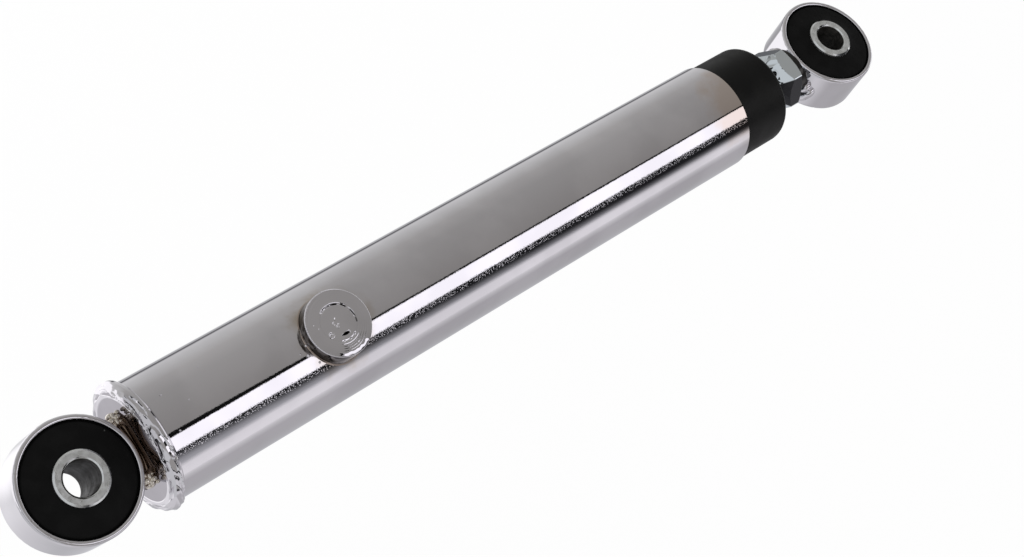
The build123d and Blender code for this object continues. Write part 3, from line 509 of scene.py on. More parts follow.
def new_piece(name, bm, body, materials, replaced=None, crease=60):
    """Makes the mesh an object that rides on a body and stands for the CAD node it replaces, if any."""
    bmesh.ops.recalc_face_normals(bm, faces=bm.faces)
    mesh = bpy.data.meshes.new(name)
    bm.to_mesh(mesh)
    bm.free()
    for material in materials:
        mesh.materials.append(material)
    mesh.shade_smooth()
    mesh.set_sharp_from_angle(angle=radians(crease))
    piece = bpy.data.objects.new(name, mesh)
    bpy.context.scene.collection.objects.link(piece)
    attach(piece, body)
    if replaced:
        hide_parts(replaced)
    return piece


def lump(bm, centre, radii, seed, size_mm, height):
    """A rounded blob of weld metal with creases of the given size and height."""
    made = bmesh.ops.create_icosphere(bm, subdivisions=4, radius=1.0)
    for vertex in made["verts"]:
        out = vertex.co.copy()
        local = Vector((out.x * radii[0], out.y * radii[1], out.z * radii[2]))
        crease = ridged((centre + local) * per(size_mm) + Vector((seed, 0, 0)))
        vertex.co = centre + local + out * height * (crease - 0.5)


# Bush sleeves: turned tubes with chamfered ends and the tool's rings left in the bore
CHAMFER = 0.5 * MM
BORE_RING_PITCH = 0.8 * MM
SLEEVE_OUTLINE = [
    (CHAMFER - SLEEVE_HALF, BORE_R),
    (SLEEVE_HALF - CHAMFER, BORE_R),
    (SLEEVE_HALF, BORE_R + CHAMFER),
    (SLEEVE_HALF, SLEEVE_R - CHAMFER),
    (SLEEVE_HALF - CHAMFER, SLEEVE_R),
    (CHAMFER - SLEEVE_HALF, SLEEVE_R),
    (-SLEEVE_HALF, SLEEVE_R - CHAMFER),
    (-SLEEVE_HALF, BORE_R + CHAMFER),
]


def bore_rings(along, radius, turn):
    """Uneven rings that the boring tool left, coarser than real ones so that they show."""
    if radius > BORE_R + 0.1 * MM:
        return 0.0
    ring = sin(2 * pi * along / BORE_RING_PITCH) + 1.2 * noise.noise(Vector((along * per(0.5), 0.3, 0.0)))
    return 0.03 * MM - 0.026 * MM * ring


def bush_sleeve(end, middle, bolt):
    """A bush sleeve, with painted shade darkening its bore, and polished on its chamfers."""
    sleeve = turned(fine(SLEEVE_OUTLINE, 0.16 * MM), 96, middle, bolt, ALONG, bore_rings)
    for face in sleeve.faces:
        offset = face.calc_center_median() - middle
        in_bore = (offset - bolt * offset.dot(bolt)).length < BORE_R + 0.08 * MM
        face.normal_update()
        on_chamfer = 0.3 < abs(face.normal.dot(bolt)) < 0.9
        face.material_index = 1 if in_bore else 2 if on_chamfer else 0
    finishes = (sleeve_zinc, bore_painted_shade, chamfer_zinc)
    replaced = f"{end}_bush_sleeve"
    new_piece(f"{end}_sleeve_turned", sleeve, f"{end}_sleeve", finishes, replaced, 40)


UPPER_MIDDLE = Vector((UPPER_X, 0, 0))
bush_sleeve("lower", ORIGIN, lower_bolt)
bush_sleeve("upper", UPPER_MIDDLE, upper_bolt)

# Edge weld round the end plate: crinkled where the arc ran, smooth where it flowed on to the tube
# The outline's points are along X and out from the axis, and the heights are in millimetres too
EDGE_WELD_OUTLINE = [
    (18.95, 15.6),
    (18.76, 15.9),
    (18.72, 17.0),
    (18.78, 17.8),
    (19.1, 18.5),
    (19.6, 19.05),
    (20.2, 19.45),
    (20.9, 19.75),
    (21.7, 19.65),
    (22.2, 19.2),
    (22.45, 18.6),
    (22.95, 18.02),
    (22.95, 17.85),
    (20.6, 17.6),
    (19.4, 15.8),
]
BAND_OUTER_EDGE = 20.7 * MM
BAND_INNER_EDGE = 16.7 * MM
FOLD_HEIGHT = 0.62
FACET_HEIGHT = 0.14
FLOW_HEIGHT = 0.04


def crinkles(along, radius, turn):
    """Long slanting folds and facets of the weld's crinkled band, whose edges wander."""
    if radius < 15.8 * MM or along > 22.9 * MM:
        return 0.0
    c, s = cos(turn), sin(turn)
    wander = 0.5 * MM * noise.noise(Vector((c * 3.5, s * 3.5, 3.1)))
    outer_edge = BAND_OUTER_EDGE + 1.4 * MM * sector(turn, 95, 200, 50) + wander
    inner_edge = BAND_INNER_EDGE - 0.6 * MM * sector(turn, 20, 120, 50) + wander
    on_band = min(max((outer_edge - along) / (0.5 * MM), 0.0), 1.0)
    on_band *= min(max((radius - inner_edge) / (0.6 * MM), 0.0), 1.0)
    side = (radius - along) * per(1.0)
    slant = side * 0.8 + 2.0 * ((turn + pi / 2) % (2 * pi))
    folds = ridged(Vector((c * 2.2, s * 2.2, slant)))
    facets = noise.noise(Vector((c * 7, s * 7, side * 0.9 + 5)))
    flow = noise.noise(Vector((c * 3, s * 3, along * per(2.0))))
    crinkle = FOLD_HEIGHT * (folds - 0.75) + FACET_HEIGHT * facets
    return MM * (on_band * crinkle + FLOW_HEIGHT * flow)


edge_outline = fine([(x * MM, r * MM) for x, r in EDGE_WELD_OUTLINE], 0.17 * MM)
edge_weld = turned(edge_outline, 560, ORIGIN, ALONG, Vector((0, 1, 0)), crinkles)
new_piece(
    "edge_weld_crinkled", edge_weld, "damper_tube", (crown_chrome,), "end_plate_weld", 24
)

# Lower eye weld: a smooth fillet round the wedge between ring and plate, with a clump at each corner
PLATE_FACE_X = 18.9 * MM
FILLET_HALF_Y = 8.6 * MM
FILLET_HALF_Z = 7.0 * MM
FILLET_ON_RING = 0.3 * MM
FILLET_ON_PLATE = 2.4 * MM
FILLET_ROOT = 0.35 * MM
FILLET_STATIONS = 360
FILLET_STEPS = 30


def ring_wall_x(y):
    """Where the lower eye ring's wall stands, on the side of the plate."""
    return sqrt(max(EYE_R**2 - y**2, 0.0))


def plate_face_x(y, z):
    """Where the domed end plate's outer face stands."""
    return min(PLATE_TOUCH + (y**2 + z**2) / (2 * DOME_RADIUS), PLATE_FACE_X)


def wedge_fillet():
    """The fillet's skin: at each station round the wedge, an arc from the ring's wall to the plate."""
    bm = bmesh.new()
    rows = []
    for i in range(FILLET_STATIONS):
        turn = 2 * pi * i / FILLET_STATIONS
        c, s = cos(turn), sin(turn)
        y = FILLET_HALF_Y * abs(c) ** 0.5 * (1 if c >= 0 else -1)
        z = FILLET_HALF_Z * abs(s) ** 0.5 * (1 if s >= 0 else -1)
        out = Vector((0, y**3 / FILLET_HALF_Y**4, z**3 / FILLET_HALF_Z**4)).normalized()
        toe = 1.0 + 0.25 * noise.noise(Vector((c * 3, s * 3, 0)))
        on_ring = Vector((0, y, z)) - out * FILLET_ON_RING * toe
        on_ring.x = ring_wall_x(on_ring.y)
        on_plate = Vector((0, y, z)) + out * FILLET_ON_PLATE * toe
        on_plate.x = plate_face_x(on_plate.y, on_plate.z)
        gap = (on_plate - on_ring).length
        row = [bm.verts.new(on_ring - ALONG * FILLET_ROOT - out * 0.2 * MM)]
        for k in range(FILLET_STEPS + 1):
            share = k / FILLET_STEPS
            point = on_ring.lerp(on_plate, share)
            sag = 0.16 * gap * sin(pi * share)
            drift = 0.35 * noise.noise(Vector((c * 1.6, s * 1.6, 2.0)))
            ripple = 0.05 * gap * sin(pi * share) * cos(2 * pi * (2.4 * share + drift))
            row.append(bm.verts.new(point - out * (sag - ripple)))
        row.append(bm.verts.new(on_plate + ALONG * FILLET_ROOT - out * 0.2 * MM))
        row.append(bm.verts.new((on_ring + on_plate) / 2 - out * (0.2 * gap + 1.0 * MM)))
        rows.append(row)
    join_rows(bm, rows)
    return bm


def clumps(places, seed, pits=()):
    """Beads of weld metal run into each other, in millimetres.

    Each place is a centre and three radii, and each pit a centre, a radius and a depth.
    """
    bm = bmesh.new()
    for i, (centre, radii) in enumerate(places):
        lump(bm, Vector(centre) * MM, [r * MM for r in radii], seed + i * 3.7, 2.2, 0.07 * MM)
    bm.normal_update()
    for vertex in bm.verts:
        for centre, radius, depth in pits:
            away = (vertex.co - Vector(centre) * MM).length / (radius * MM)
            vertex.co -= vertex.normal * depth * MM * max(0.0, 1 - away * away)
    return bm


# Each bead of a corner's clump: its place along X, sideways and outwards from the corner, and its radii
CORNER_Y = 9.6
CORNER_Z = 7.2
CORNER_BEADS = (
    (15.5, -0.4, 0.2, (1.05, 0.8, 0.75)),
    (16.4, 0.5, 0.4, (0.7, 0.9, 0.6)),
    (17.2, -0.1, 0.6, (1.1, 0.7, 0.75)),
    (18.0, 1.0, 0.2, (0.8, 0.6, 0.6)),
    (16.3, 0.9, -1.1, (1.5, 0.9, 1.4)),
    (16.5, -1.2, 0.7, (0.55, 0.9, 0.6)),
    (15.6, -1.9, 0.5, (0.4, 0.6, 0.45)),
    (17.5, -1.5, 0.5, (0.5, 0.4, 0.4)),
)
lower_weld = wedge_fillet()
new_piece("lower_weld_fillet", lower_weld, "damper_tube", (bead_chrome,), "lower_eye_weld")
for side, name in ((1, "left"), (-1, "right")):
    for face, level in ((1, "front"), (-1, "back")):
        y = side * CORNER_Y
        z = face * CORNER_Z
        beads = [((x, y + side * out, z + face * up), radii) for x, out, up, radii in CORNER_BEADS]
        bm = clumps(beads, side * 5 + face * 2)
        new_piece(f"lower_weld_clump_{name}_{level}", bm, "damper_tube", (clump_chrome,))

# Upper eye weld: a smooth lump on each side of the neck, where it was run up against the ring
# Each bead: its place from the upper eye's centre, across it and along its bolt, and its radii
UPPER_BEADS = ((-15.9, 8.2, 0.9, (2.2, 1.6, 2.4)), (-14.2, 9.4, -2.6, (3.0, 1.9, 4.2)))
UPPER_PIT = (-14.9, 11.2, -2.4)
eye_across = upper_bolt.cross(ALONG)


def upper_point(x, across, along_bolt):
    """A point in millimetres, given from the upper eye's centre, across it and along its bolt."""
    return tuple(Vector((UPPER_X / MM + x, 0, 0)) + eye_across * across + upper_bolt * along_bolt)


for side, name in ((-1, "right"), (1, "left")):
    beads = [(upper_point(x, side * across, up), radii) for x, across, up, radii in UPPER_BEADS]
    pit_x, pit_across, pit_up = UPPER_PIT
    pits = ((upper_point(pit_x, side * pit_across, pit_up), 1.5, 0.5),)
    bm = clumps(beads, side * 2.3, pits)
    replaced = "upper_eye_weld" if side == -1 else None
    new_piece(f"upper_weld_lump_{name}", bm, "rod_assembly", (crown_chrome,), replaced)


# Eye rings: rolled tube whose ends are rounded over, a little uneven from the rolling
# The outline's points are along the bolt and inwards from the ring's outside, in millimetres
RING_HALF_OUTLINE = [
    (7.3, 0.0),
    (7.75, 0.06),
    (8.12, 0.22),
    (8.38, 0.5),
    (8.5, 0.85),
    (8.46, 1.15),
    (8.34, 1.45),
    (8.1, 1.62),
    (7.7, 1.7),
]
ring_outline = [(z * MM, EYE_R - inward * MM) for z, inward in RING_HALF_OUTLINE]
ring_outline += [(-z * MM, EYE_R - inward * MM) for z, inward in reversed(RING_HALF_OUTLINE)]


def rolling_marks(along, radius, turn):
    """The ring's slight waves, and the nicks along its rounded ends."""
    c, s = cos(turn), sin(turn)
    wave = noise.noise(Vector((c * 2.2, s * 2.2, along * per(9))))
    nick = ridged(Vector((c * 16, s * 16, along * per(2.5))))
    at_end = 1.0 if abs(along) > 7.4 * MM else 0.0
    return MM * ((0.035 + 0.04 * at_end) * (wave - 0.7) - 0.07 * at_end * max(0.0, nick - 0.8) / 0.2)


def eye_ring(end, middle, bolt, body):
    """A rolled eye ring."""
    ring = turned(fine(ring_outline, 0.3 * MM), 240, middle, bolt, ALONG, rolling_marks)
    new_piece(f"{end}_ring_rolled", ring, body, (ring_chrome,), f"{end}_eye_ring")


eye_ring("lower", ORIGIN, lower_bolt, "damper_tube")
eye_ring("upper", UPPER_MIDDLE, upper_bolt, "rod_assembly")

# Bush rubber: moulded between ring and sleeve, swelling a little towards the sleeve
# The outline's points are along the bolt and out from it, in millimetres
RUBBER_HALF_OUTLINE = [
    (6.9, EYE_R / MM - 1.66),
    (7.05, EYE_R / MM - 1.95),
    (7.8, EYE_R / MM - 2.2),
    (8.05, EYE_R / MM - 2.6),
    (8.2, 14.0),
    (8.45, 12.0),
    (8.85, 10.0),
    (9.25, 8.5),
    (9.4, SLEEVE_R / MM + 0.05),
]
rubber_outline = [(z * MM, r * MM) for z, r in RUBBER_HALF_OUTLINE]
rubber_outline += [(-z * MM, r * MM) for z, r in reversed(RUBBER_HALF_OUTLINE)]


def moulding_marks(along, radius, turn):
    """Small pips and hollows of the moulded face."""
    if radius > EYE_R - 1.8 * MM or radius < SLEEVE_R + 0.3 * MM:
        return 0.0
    u = radius * cos(turn) * per(1.3)
    v = radius * sin(turn) * per(1.3)
    return 0.03 * MM * noise.noise(Vector((u, v, along * per(4))))


def bush(end, middle, bolt, body):
    """A rubber bush."""
    rubber = turned(fine(rubber_outline, 0.5 * MM), 160, middle, bolt, ALONG, moulding_marks)
    new_piece(f"{end}_rubber_moulded", rubber, body, (bush_rubber,), f"{end}_bush_rubber")


bush("lower", ORIGIN, lower_bolt, "damper_tube")
bush("upper", UPPER_MIDDLE, upper_bolt, "rod_assembly")

# Forged socket: a spanner hexagon with coned corners, and a neck welded up to the ring
HEX_WIDTH = 19.6 * MM
HEX_TURN = 48.5
HEX_CORNER_R = 11.45 * MM
CONE_LENGTH = 4.0 * MM
CONE_ROWS = 32
CONE_TIP_R = 7.4 * MM
NECK_R = 8.3 * MM
SOCKET_BORE_R = 6.0 * MM


def hexagon_radius(turn):
    """How far the hexagon's flats stand from its axis at this turn."""
    off = (turn * 180 / pi - HEX_TURN) % 60 - 30
    return HEX_WIDTH / 2 / cos(radians(off))


def forged_socket():
    """The socket's skin: each row is a cone cut by the hexagon's flats, or the round neck."""
    # Each row is a place along X, the cone's radius there, and how far the row follows the ring's wall
    rows = [(HEX_START, SOCKET_BORE_R, 0.0), (HEX_START, CONE_TIP_R - 0.2 * MM, 0.0)]
    for i in range(CONE_ROWS + 1):
        share = i / CONE_ROWS
        cone_r = CONE_TIP_R + (HEX_CORNER_R - CONE_TIP_R) * share
        rows.append((HEX_START + CONE_LENGTH * share, cone_r, 0.0))
    rows += [(HEX_START + (4.2 + i * 0.45) * MM, HEX_CORNER_R, 0.0) for i in range(8)]
    rows += [(HEX_END - (0.9 - 0.06 * i) * MM, HEX_CORNER_R - 0.1 * MM * i, 0.0) for i in range(16)]
    rows += [(HEX_END, 9.3 * MM, 0.0), (HEX_END + 0.05 * MM, NECK_R + 0.3 * MM, 0.0)]
    rows += [(HEX_END + 0.4 * MM, NECK_R, 0.0), (HEX_END + 3.0 * MM, NECK_R, 0.9)]
    rows += [(HEX_END + 3.3 * MM, NECK_R, 1.0), (HEX_END + 3.3 * MM, SOCKET_BORE_R, 1.0)]
    bm = bmesh.new()
    count = 360
    rings = []
    for x, cone_r, on_wall in rows:
        ring = []
        for j in range(count):
            turn = 2 * pi * j / count
            radius = min(hexagon_radius(turn), cone_r)
            out = Vector((0, cos(turn), sin(turn)))
            wall = UPPER_X + 0.4 * MM - sqrt(EYE_R**2 - (out * radius).dot(eye_across) ** 2)
            dent = 0.02 * MM * noise.noise(Vector((x * per(2.5), out.y * 4, out.z * 4)))
            if cone_r < hexagon_radius(turn) and x < HEX_START + CONE_LENGTH + 0.1 * MM:
                scale_marks = ridged(Vector((x * per(2.6), out.y * 3.4, out.z * 3.4))) - 0.5
                dent += 0.16 * MM * scale_marks
            at = x + (wall - x) * on_wall
            ring.append(bm.verts.new(ALONG * at + out * (radius + dent)))
        rings.append(ring)
    join_rows(bm, rings)
    return bm


socket = forged_socket()
socket_finish = (hexagon_chrome,)
new_piece(
    "upper_socket_forged", socket, "rod_assembly", socket_finish, "upper_eye_socket", 20
)

# Side boss: a turned boss brazed on the tube, with a plug whose seam the plating has half filled
FACE_RIM_R = 9.75 * MM
FACE_SINK = 0.12 * MM
# Each dimple's u and v, radius and depth, in millimetres
PITS = (
    (-3.95, -2.01, 0.62, 0.26),
    (-0.31, 1.42, 0.30, 0.10),
    (-1.48, 0.52, 0.34, 0.14),
    (-0.92, -0.78, 0.34, 0.14),
    (-0.35, -0.35, 0.26, 0.10),
    (-6.92, 2.56, 0.25, 0.10),
    (-6.19, 1.01, 0.25, 0.10),
    (2.2, -7.4, 0.25, 0.08),
    (-1.6, -7.9, 0.25, 0.08),
)


def face_marks(along, radius, turn):
    """Marks on the boss's flat face: the half filled seam, the tool's rings, dimples and a nick.

    The rings are drawn about 0.65 mm apart, coarser than a lathe leaves them, so that they show.
    """
    if along < BOSS_TOP - 0.2 * MM or radius > FACE_RIM_R:
        return 0.0
    u = radius * cos(turn) / MM
    v = radius * sin(turn) / MM
    seam = sector(turn, -22, 126, 16) + sector(turn, 246, 304, 14)
    torn = 0.6 + 0.5 * sector(turn, 52, 104, 10)
    torn += 0.9 * noise.noise(Vector((cos(turn) * 3.4, sin(turn) * 3.4, 1.0)))
    depth = (0.02 + 0.3 * seam * max(torn, 0.2)) * max(0.0, 1 - abs(radius - GROOVE_R) / (0.42 * MM))
    lip = 0.05 * seam * max(0.0, 1 - abs(radius - GROOVE_R - 0.6 * MM) / (0.3 * MM))
    rings = sector(turn, 245, 330, 30) * (1 if 6.1 * MM < radius < 8.7 * MM else 0)
    turning = 0.045 * rings * sin(2 * pi * radius / (0.66 * MM)) ** 3
    ragged = 0.35 * noise.noise(Vector((cos(turn) * 9, sin(turn) * 9, 4.0)))
    worn = 0.36 * sector(turn, 240, 306, 34) * max(0.0, radius / MM - 8.8 - ragged)
    worn += 0.05 * sector(turn, 100, 150, 12) * max(0.0, 1 - abs(radius / MM - 8.9) / 0.3)
    faint = 0.004 * sin(2 * pi * radius / (0.62 * MM))
    dents = 0.0
    for pit_u, pit_v, size, deep in PITS:
        away = hypot(u - pit_u, v - pit_v) / size
        dents += deep * max(0.0, 1 - away * away) - 0.35 * deep * max(0.0, 1 - abs(away - 1.35) / 0.35)
    nick_u, nick_v, long, wide, deep = NICK
    along_nick = (u - nick_u) / long
    width_here = wide * (0.65 + 0.35 * min(max(along_nick, -1.0), 1.0))
    dents += deep * max(0.0, 1 - abs(along_nick)) ** 0.5 * max(0.0, 1 - abs(v - nick_v) / width_here)
    wave = 0.012 * noise.noise(Vector((u / 3.5, v / 3.5, 2.0)))
    return MM * (lip + turning + faint + wave - depth - dents - worn)


# The height in the outline that stands for the tube's surface
FOOT = TUBE_R - 2 * MM


def on_tube(height, radius, turn):
    """Heights below the boss's mid wall are measured from the tube's surface instead of its axis."""
    if height > TUBE_R - 1.5 * MM and radius < BOSS_R + 0.02 * MM:
        return height
    return sqrt(TUBE_R**2 - (radius * sin(turn)) ** 2) + height - FOOT


BOSS_OUTLINE = [
    (BOSS_TOP - 2.4 * MM, GROOVE_R - 0.15 * MM),
    (BOSS_TOP - FACE_SINK - 0.35 * MM, GROOVE_R - 0.05 * MM),
    (BOSS_TOP - FACE_SINK, GROOVE_R),
    (BOSS_TOP - FACE_SINK, FACE_RIM_R),
    (BOSS_TOP - FACE_SINK + 0.06 * MM, FACE_RIM_R + 0.08 * MM),
    (BOSS_TOP - FACE_SINK + 0.02 * MM, BOSS_R - 0.08 * MM),
    (BOSS_TOP - 0.3 * MM, BOSS_R),
    (TUBE_R - 1.4 * MM, BOSS_R),
    (FOOT + 0.7 * MM, BOSS_R + 0.05 * MM),
    (FOOT + 0.3 * MM, BOSS_R + 0.14 * MM),
    (FOOT + 0.08 * MM, BOSS_R + 0.34 * MM),
    (FOOT - 0.25 * MM, BOSS_R + 0.6 * MM),
    (FOOT - 0.6 * MM, BOSS_R + 0.3 * MM),
]
boss_outline = fine(BOSS_OUTLINE, 0.11 * MM)
boss_middle = Vector((BOSS_X, 0, 0))
boss = turned(boss_outline, 256, boss_middle, boss_axis, ALONG, face_marks, on_tube)
new_piece("side_boss_turned", boss, "damper_tube", (boss_chrome,), "side_boss", 50)

PLUG_OUTLINE = [
    (BOSS_TOP - FACE_SINK, 0.0),
    (BOSS_TOP - FACE_SINK, GROOVE_R + 0.02 * MM),
    (BOSS_TOP - FACE_SINK - 0.3 * MM, GROOVE_R + 0.01 * MM),
    (BOSS_TOP - 2.2 * MM, GROOVE_R - 0.1 * MM),
    (BOSS_TOP - 2.2 * MM, 0.0),
]
plug = turned(fine(PLUG_OUTLINE, 0.11 * MM), 256, boss_middle, boss_axis, ALONG, face_marks)
new_piece("side_plug_flush", plug, "damper_tube", (boss_chrome,), "side_plug", 50)

# Spatter: small beads that the welds threw on the tube and on the boss's foot
# Each bead's place along X in millimetres, angle round the tube in degrees and radius in millimetres
SPATTER = (
    (27.5, 62, 0.32),
    (33.0, 78, 0.24),
    (26.4, 97, 0.28),
    (41.0, 55, 0.2),
    (30.5, 116, 0.26),
    (69.3, 96.5, 0.5),
    (70.2, 88.0, 0.36),
    (71.6, 107.0, 0.34),
    (67.4, 92.0, 0.24),
)
bm = bmesh.new()
for i, (x, turn, size) in enumerate(SPATTER):
    spot = Vector((x * MM, TUBE_R * cos(radians(turn)), TUBE_R * sin(radians(turn))))
    lump(bm, spot, (size * MM, size * MM, size * MM), i * 2.1, 0.5, 0.3 * size * MM)
new_piece("weld_spatter", bm, "damper_tube", (crown_chrome,))

# Check springs: coned strip washers with four legs, built in their coned shape; on the damper they flatten
# as their check plates lift
SPRING_STRIP = 0.25 * MM
SPRING_STEPS = 8
SPRING_COUNT = 360


def check_spring(valve, body, leg_r, flange_r, notch_r, half_notch_degrees):
    """A check spring, from its legs on the plate to its ring under the flange.

    Four notches part the legs: they reach in to notch_r, and half of one spans half_notch_degrees.
    """
    low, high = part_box(f"{valve}_check_spring")
    rise = high.x - SPRING_STRIP - low.x
    bm = bmesh.new()
    rows = []
    for i in range(2 * SPRING_STEPS + 2):
        on_top = i > SPRING_STEPS
        share = (2 * SPRING_STEPS + 1 - i if on_top else i) / SPRING_STEPS
        row = []
        for j in range(SPRING_COUNT):
            turn = 2 * pi * j / SPRING_COUNT
            off = abs((j * 360 / SPRING_COUNT + 45) % 90 - 45)
            edge_r = leg_r if off > half_notch_degrees else notch_r / cos(radians(off))
            radius = flange_r + (edge_r - flange_r) * share
            x = low.x + rise * (leg_r - radius) / (leg_r - flange_r) + (SPRING_STRIP if on_top else 0.0)
            row.append(bm.verts.new((x, radius * cos(turn), radius * sin(turn))))
        rows.append(row)
    join_rows(bm, rows)
    replaced = f"{valve}_check_spring"
    piece = new_piece(f"{valve}_spring_legs", bm, body, (spring,), replaced, 40)
    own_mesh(piece)


check_spring("piston", "rod_assembly", 8.8 * MM, 5.4 * MM, 6.6 * MM, 29)
check_spring("foot", "damper_tube", 9.6 * MM, 6.3 * MM, 7.2 * MM, 30)

# Edges of the CAD pieces that show: a small bevel gives each one a line of light
for name in ("end_collar", "outer_tube"):
    bevel = nodes[name].modifiers.new("worn_edge", "BEVEL")
    bevel.width = 0.12 * MM
    bevel.segments = 2
    bevel.limit_method = "ANGLE"
    bevel.angle_limit = radians(35)
    bevel.harden_normals = True

# Studio: white all round to the eye, with sheets and cards that only mirrors see
# Each stop is the angle round the damper's axis, 90 straight up, and the tone that polished chrome shows
STUDIO_TONES = (
    (-180, "#c8c6c9"),
    (-174, "#b4b3b5"),
    (-165, "#a19fa2"),
    (-140, "#9f9ea0"),
    (-109, "#a2a2a5"),
    (-98, "#aeaeb2"),
    (-90, "#c8c8ca"),
    (-82, "#c4c4c6"),
    (-70, "#a8a8aa"),
    (-63, "#9a9a9c"),
    (-52, "#8e8e90"),
    (-46, "#bbbbbb"),
    (-20, "#acacab"),
    (0, "#9b9a98"),
    (30, "#8e8d8b"),
    (97, "#817f7d"),
    (105, "#7f7d7b"),
    (107, "#fcfaff"),
    (131, "#fcfaff"),
    (132.5, "#8c8c90"),
    (154, "#96969a"),
    (162, "#cfcdd0"),
    (172, "#d2d0d3"),
)
BATTEN_BLACK = "#101010"
FLAG_BLACK = "#1b1b1d"
FAR_GREY = "#5c5c5e"
HORIZON_GREY = "#2a2a2c"
DOWN_WHITE = "#dedde0"
DOWN_GREY = "#bebdc0"
NEAR_WHITE = "#f4f3f5"
END_WHITE = "#f2f2f4"
START_WHITE = "#b4b5b7"
UP_GREY = "#8a8886"
# The tones above are what chrome of this reflectance shows, so the studio itself is this much brighter
CHROME_REFLECTS = linear("#dbdbde")[0]
SOFT_LIGHT = 0.92


def tone_round_x(tree, angle):
    """The studio's tone at each angle round the damper's axis."""
    share = add_node(tree, "MapRange", {"Value": angle, "From Min": -180.0, "From Max": 180.0})[0]
    tone = add_node(tree, "ValToRGB", (share,))[0]
    ramp = tone.node.color_ramp
    while len(ramp.elements) > 1:
        ramp.elements.remove(ramp.elements[-1])
    for i, (degrees, colour) in enumerate(STUDIO_TONES):
        position = (degrees + 180) / 360
        stop = ramp.elements[0] if i == 0 else ramp.elements.new(position)
        stop.position = position
        stop.color = linear(colour)
    return tone


def over(tree, below, layers):
    """A colour with layers laid over it, each a mask and a colour."""
    for mask, colour in layers:
        below = add_node(tree, "Mix", {0: mask, 6: below, 7: colour}, data_type="RGBA")[2]
    return below


def sheets(tree, angle, axes):
    """The sheets beside the damper, a thin black batten, a black flag with a slanted edge, and a card."""
    near_end = add_node(tree, "MapRange", (axes["X"], 0.33, 0.52, 97.6, 102.9), **EASED)[0]
    from_batten = add_node(tree, "Math", (angle, near_end), operation="SUBTRACT")[0]
    batten_start = add_node(tree, "MapRange", (from_batten, -0.4, 0.4, 0, 1), **EASED)[0]
    batten_end = add_node(tree, "MapRange", (angle, 105.6, 106.4, 1, 0), **EASED)[0]
    batten = add_node(tree, "Math", (batten_start, batten_end), operation="MULTIPLY")[0]
    slanted = add_node(tree, "Math", (axes["X"], -53.0, angle), operation="MULTIPLY_ADD")[0]
    flag_start = add_node(tree, "MapRange", (angle, 131.0, 132.5, 0, 1), **EASED)[0]
    flag_end = add_node(tree, "MapRange", (slanted, 113.0, 135.0, 1, 0), **EASED)[0]
    flag = add_node(tree, "Math", (flag_start, flag_end), operation="MULTIPLY")[0]
    far_side = add_node(tree, "MapRange", (axes["X"], 0.24, 0.29, 0, 1), **EASED)[0]
    card = band(tree, angle, -60.0, -57.5, -53.5, -50.0)
    card = add_node(tree, "Math", (card, far_side), operation="MULTIPLY")[0]
    layers = ((batten, BATTEN_BLACK), (flag, FLAG_BLACK), (card, FAR_GREY))
    return over(tree, tone_round_x(tree, angle), layers)


def room_beyond(tree, axes):
    """What lies past the sheets' ends: white paper below, grey room above, and a dark horizon between."""
    paper_side = add_node(tree, "MapRange", (axes["Y"], -0.32, 0.25, 0, 1), **EASED)[0]
    upper_room = add_node(tree, "MapRange", (axes["Z"], -0.1, 0.3, 0, 1), **EASED)[0]
    far_end = add_node(tree, "MapRange", (axes["X"], 0.88, 0.93, 0, 1), **EASED)[0]
    near_end = add_node(tree, "MapRange", (axes["X"], -0.62, -0.45, 1, 0), **EASED)[0]
    horizon = band(tree, axes["Z"], 0.0, 0.04, 0.12, 0.2)
    paper = add_node(tree, "Mix", {0: paper_side, 6: DOWN_GREY, 7: DOWN_WHITE}, data_type="RGBA")[2]
    layers = ((upper_room, UP_GREY), (far_end, END_WHITE), (near_end, START_WHITE), (horizon, HORIZON_GREY))
    return over(tree, paper, layers)


def sheet_window(tree, axes):
    """1 where a mirror sees the sheets, 0 past their leaning ends, which reach further on the low side."""
    low = add_node(tree, "MapRange", (axes["Z"], -0.9, -0.5, 0, 0.35), **EASED)[0]
    level = add_node(tree, "MapRange", (axes["Z"], -0.3, 0.0, 1, 0), **EASED)[0]
    low_side = add_node(tree, "Math", (low, level), operation="MULTIPLY")[0]
    leaned = add_node(tree, "Math", (axes["Y"], 0.357, axes["X"]), operation="MULTIPLY_ADD")[0]
    place = add_node(tree, "Math", (leaned, low_side), operation="ADD")[0]
    near_end = add_node(tree, "MapRange", (place, -0.4, 0.02, 0, 1), **EASED)[0]
    far_end = add_node(tree, "MapRange", (axes["X"], 0.82, 0.9, 1, 0), **EASED)[0]
    return add_node(tree, "Math", (near_end, far_end), operation="MULTIPLY")[0]


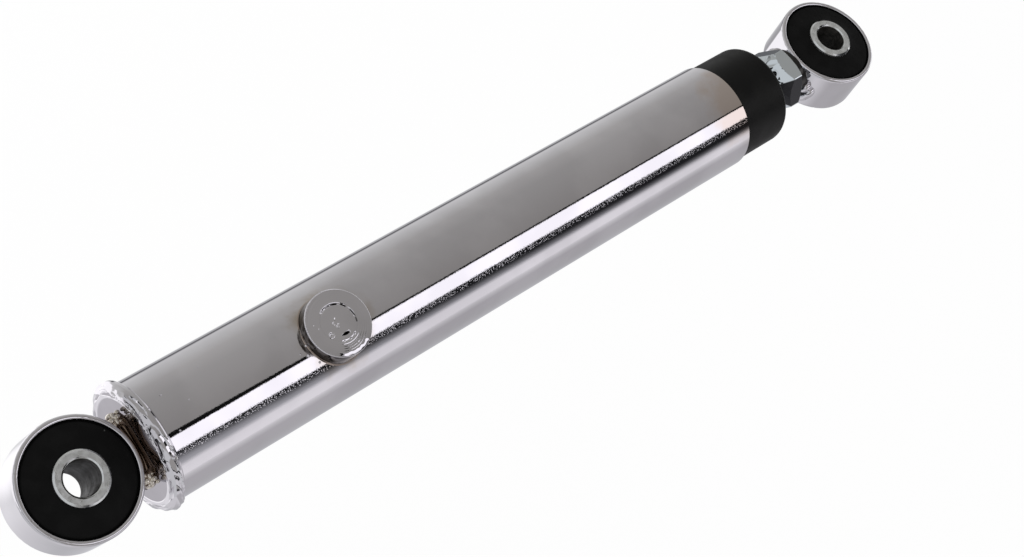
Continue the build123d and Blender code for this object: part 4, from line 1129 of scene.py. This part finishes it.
def studio():
    """White to the eye, even soft light on rough surfaces, and the studio's sheets and cards in mirrors."""
    world = bpy.data.worlds.new("studio")
    bpy.context.scene.world = world
    world.use_nodes = True
    tree = world.node_tree
    tree.nodes.clear()
    direction = add_node(tree, "TexCoord")["Generated"]
    axes = add_node(tree, "SeparateXYZ", (direction,))
    angle = angle_of(tree, axes["Z"], axes["Y"])
    near_side = add_node(tree, "MapRange", (axes["X"], 0.2, 0.28, 1, 0), **EASED)[0]
    paper_strip = band(tree, angle, -82.0, -73.0, -46.0, -40.0)
    near_paper = add_node(tree, "Math", (paper_strip, near_side), operation="MULTIPLY")[0]
    layers = ((sheet_window(tree, axes), sheets(tree, angle, axes)), (near_paper, NEAR_WHITE))
    seen = over(tree, room_beyond(tree, axes), layers)
    mirror = add_node(tree, "Background", {"Color": seen, "Strength": 1 / CHROME_REFLECTS})[0]
    soft = add_node(tree, "Background", {"Color": "#ffffff", "Strength": SOFT_LIGHT})[0]
    white = add_node(tree, "Background", {"Color": "#ffffff", "Strength": 1.0})[0]
    path = add_node(tree, "LightPath")
    lit = add_node(tree, "MixShader", (path["Is Glossy Ray"], soft, mirror))[0]
    shown = add_node(tree, "MixShader", (path["Is Camera Ray"], lit, white))[0]
    add_node(tree, "OutputWorld", {"Surface": shown})


FLOOR_HALF = 6.0
FLOOR_LEVEL = -0.3
FLOOR_GLOW = 0.75


def floor():
    """A plain white floor well below the part, which keeps the part's soft shadow."""
    mesh = bpy.data.meshes.new("floor")
    signs = ((-1, -1), (1, -1), (1, 1), (-1, 1))
    mesh.from_pydata([(x * FLOOR_HALF, y * FLOOR_HALF, FLOOR_LEVEL) for x, y in signs], [], [(0, 1, 2, 3)])
    plane = bpy.data.objects.new("floor", mesh)
    bpy.context.scene.collection.objects.link(plane)
    # Matt white paper: even white with a faint shadow, since most of what the camera sees is its own white
    material, tree, shader, _ = new_material("white_paper_sweep", "#ffffff", 0, 0.9, Specular_IOR_Level=0)
    glow = add_node(tree, "Emission", {"Color": "#ffffff", "Strength": 1.0})[0]
    path = add_node(tree, "LightPath")
    share = add_node(tree, "Math", (path["Is Camera Ray"], FLOOR_GLOW), operation="MULTIPLY")[0]
    mixed = add_node(tree, "MixShader", (share, shader.outputs[0], glow))[0]
    tree.links.new(mixed, tree.nodes["Material Output"].inputs["Surface"])
    mesh.materials.append(material)
    plane.visible_glossy = False


def lamp(name, place, size, watts):
    """A soft square lamp that faces the middle of the damper and doesn't show in mirrors."""
    light = bpy.data.lights.new(name, "AREA")
    light.size = size
    light.energy = watts
    holder = bpy.data.objects.new(name, light)
    bpy.context.scene.collection.objects.link(holder)
    holder.location = place
    middle = (cad_box[0] + cad_box[1]) / 2
    holder.rotation_euler = (middle - Vector(place)).to_track_quat("-Z", "Y").to_euler()
    holder.visible_glossy = False


# The camera, as fitted to the outlines of the eyes, the tube and the collar in the photograph
CAMERA_PLACE = Vector((-0.15031, -0.01087, 0.46717))
CAMERA_RIGHT = Vector((0.72177, -0.51056, 0.46730))
CAMERA_UP = Vector((0.43052, 0.85984, 0.27447))
LENS = 63.58


def camera():
    """The photograph's view: from the lower eye's side, looking down on the side boss."""
    lens = bpy.data.cameras.new("camera")
    lens.sensor_width = 36.0
    lens.lens = LENS
    lens.clip_start = 0.01
    eye = bpy.data.objects.new("camera", lens)
    bpy.context.scene.collection.objects.link(eye)
    turn = Matrix((CAMERA_RIGHT, CAMERA_UP, CAMERA_RIGHT.cross(CAMERA_UP))).transposed()
    eye.matrix_world = Matrix.Translation(CAMERA_PLACE) @ turn.to_4x4()
    bpy.context.scene.camera = eye


studio()
floor()
lamp("large_soft_lamp", (-0.2, 0.5, 0.9), 0.8, 1.6)
camera()
bpy.context.scene.view_settings.view_transform = "Standard"
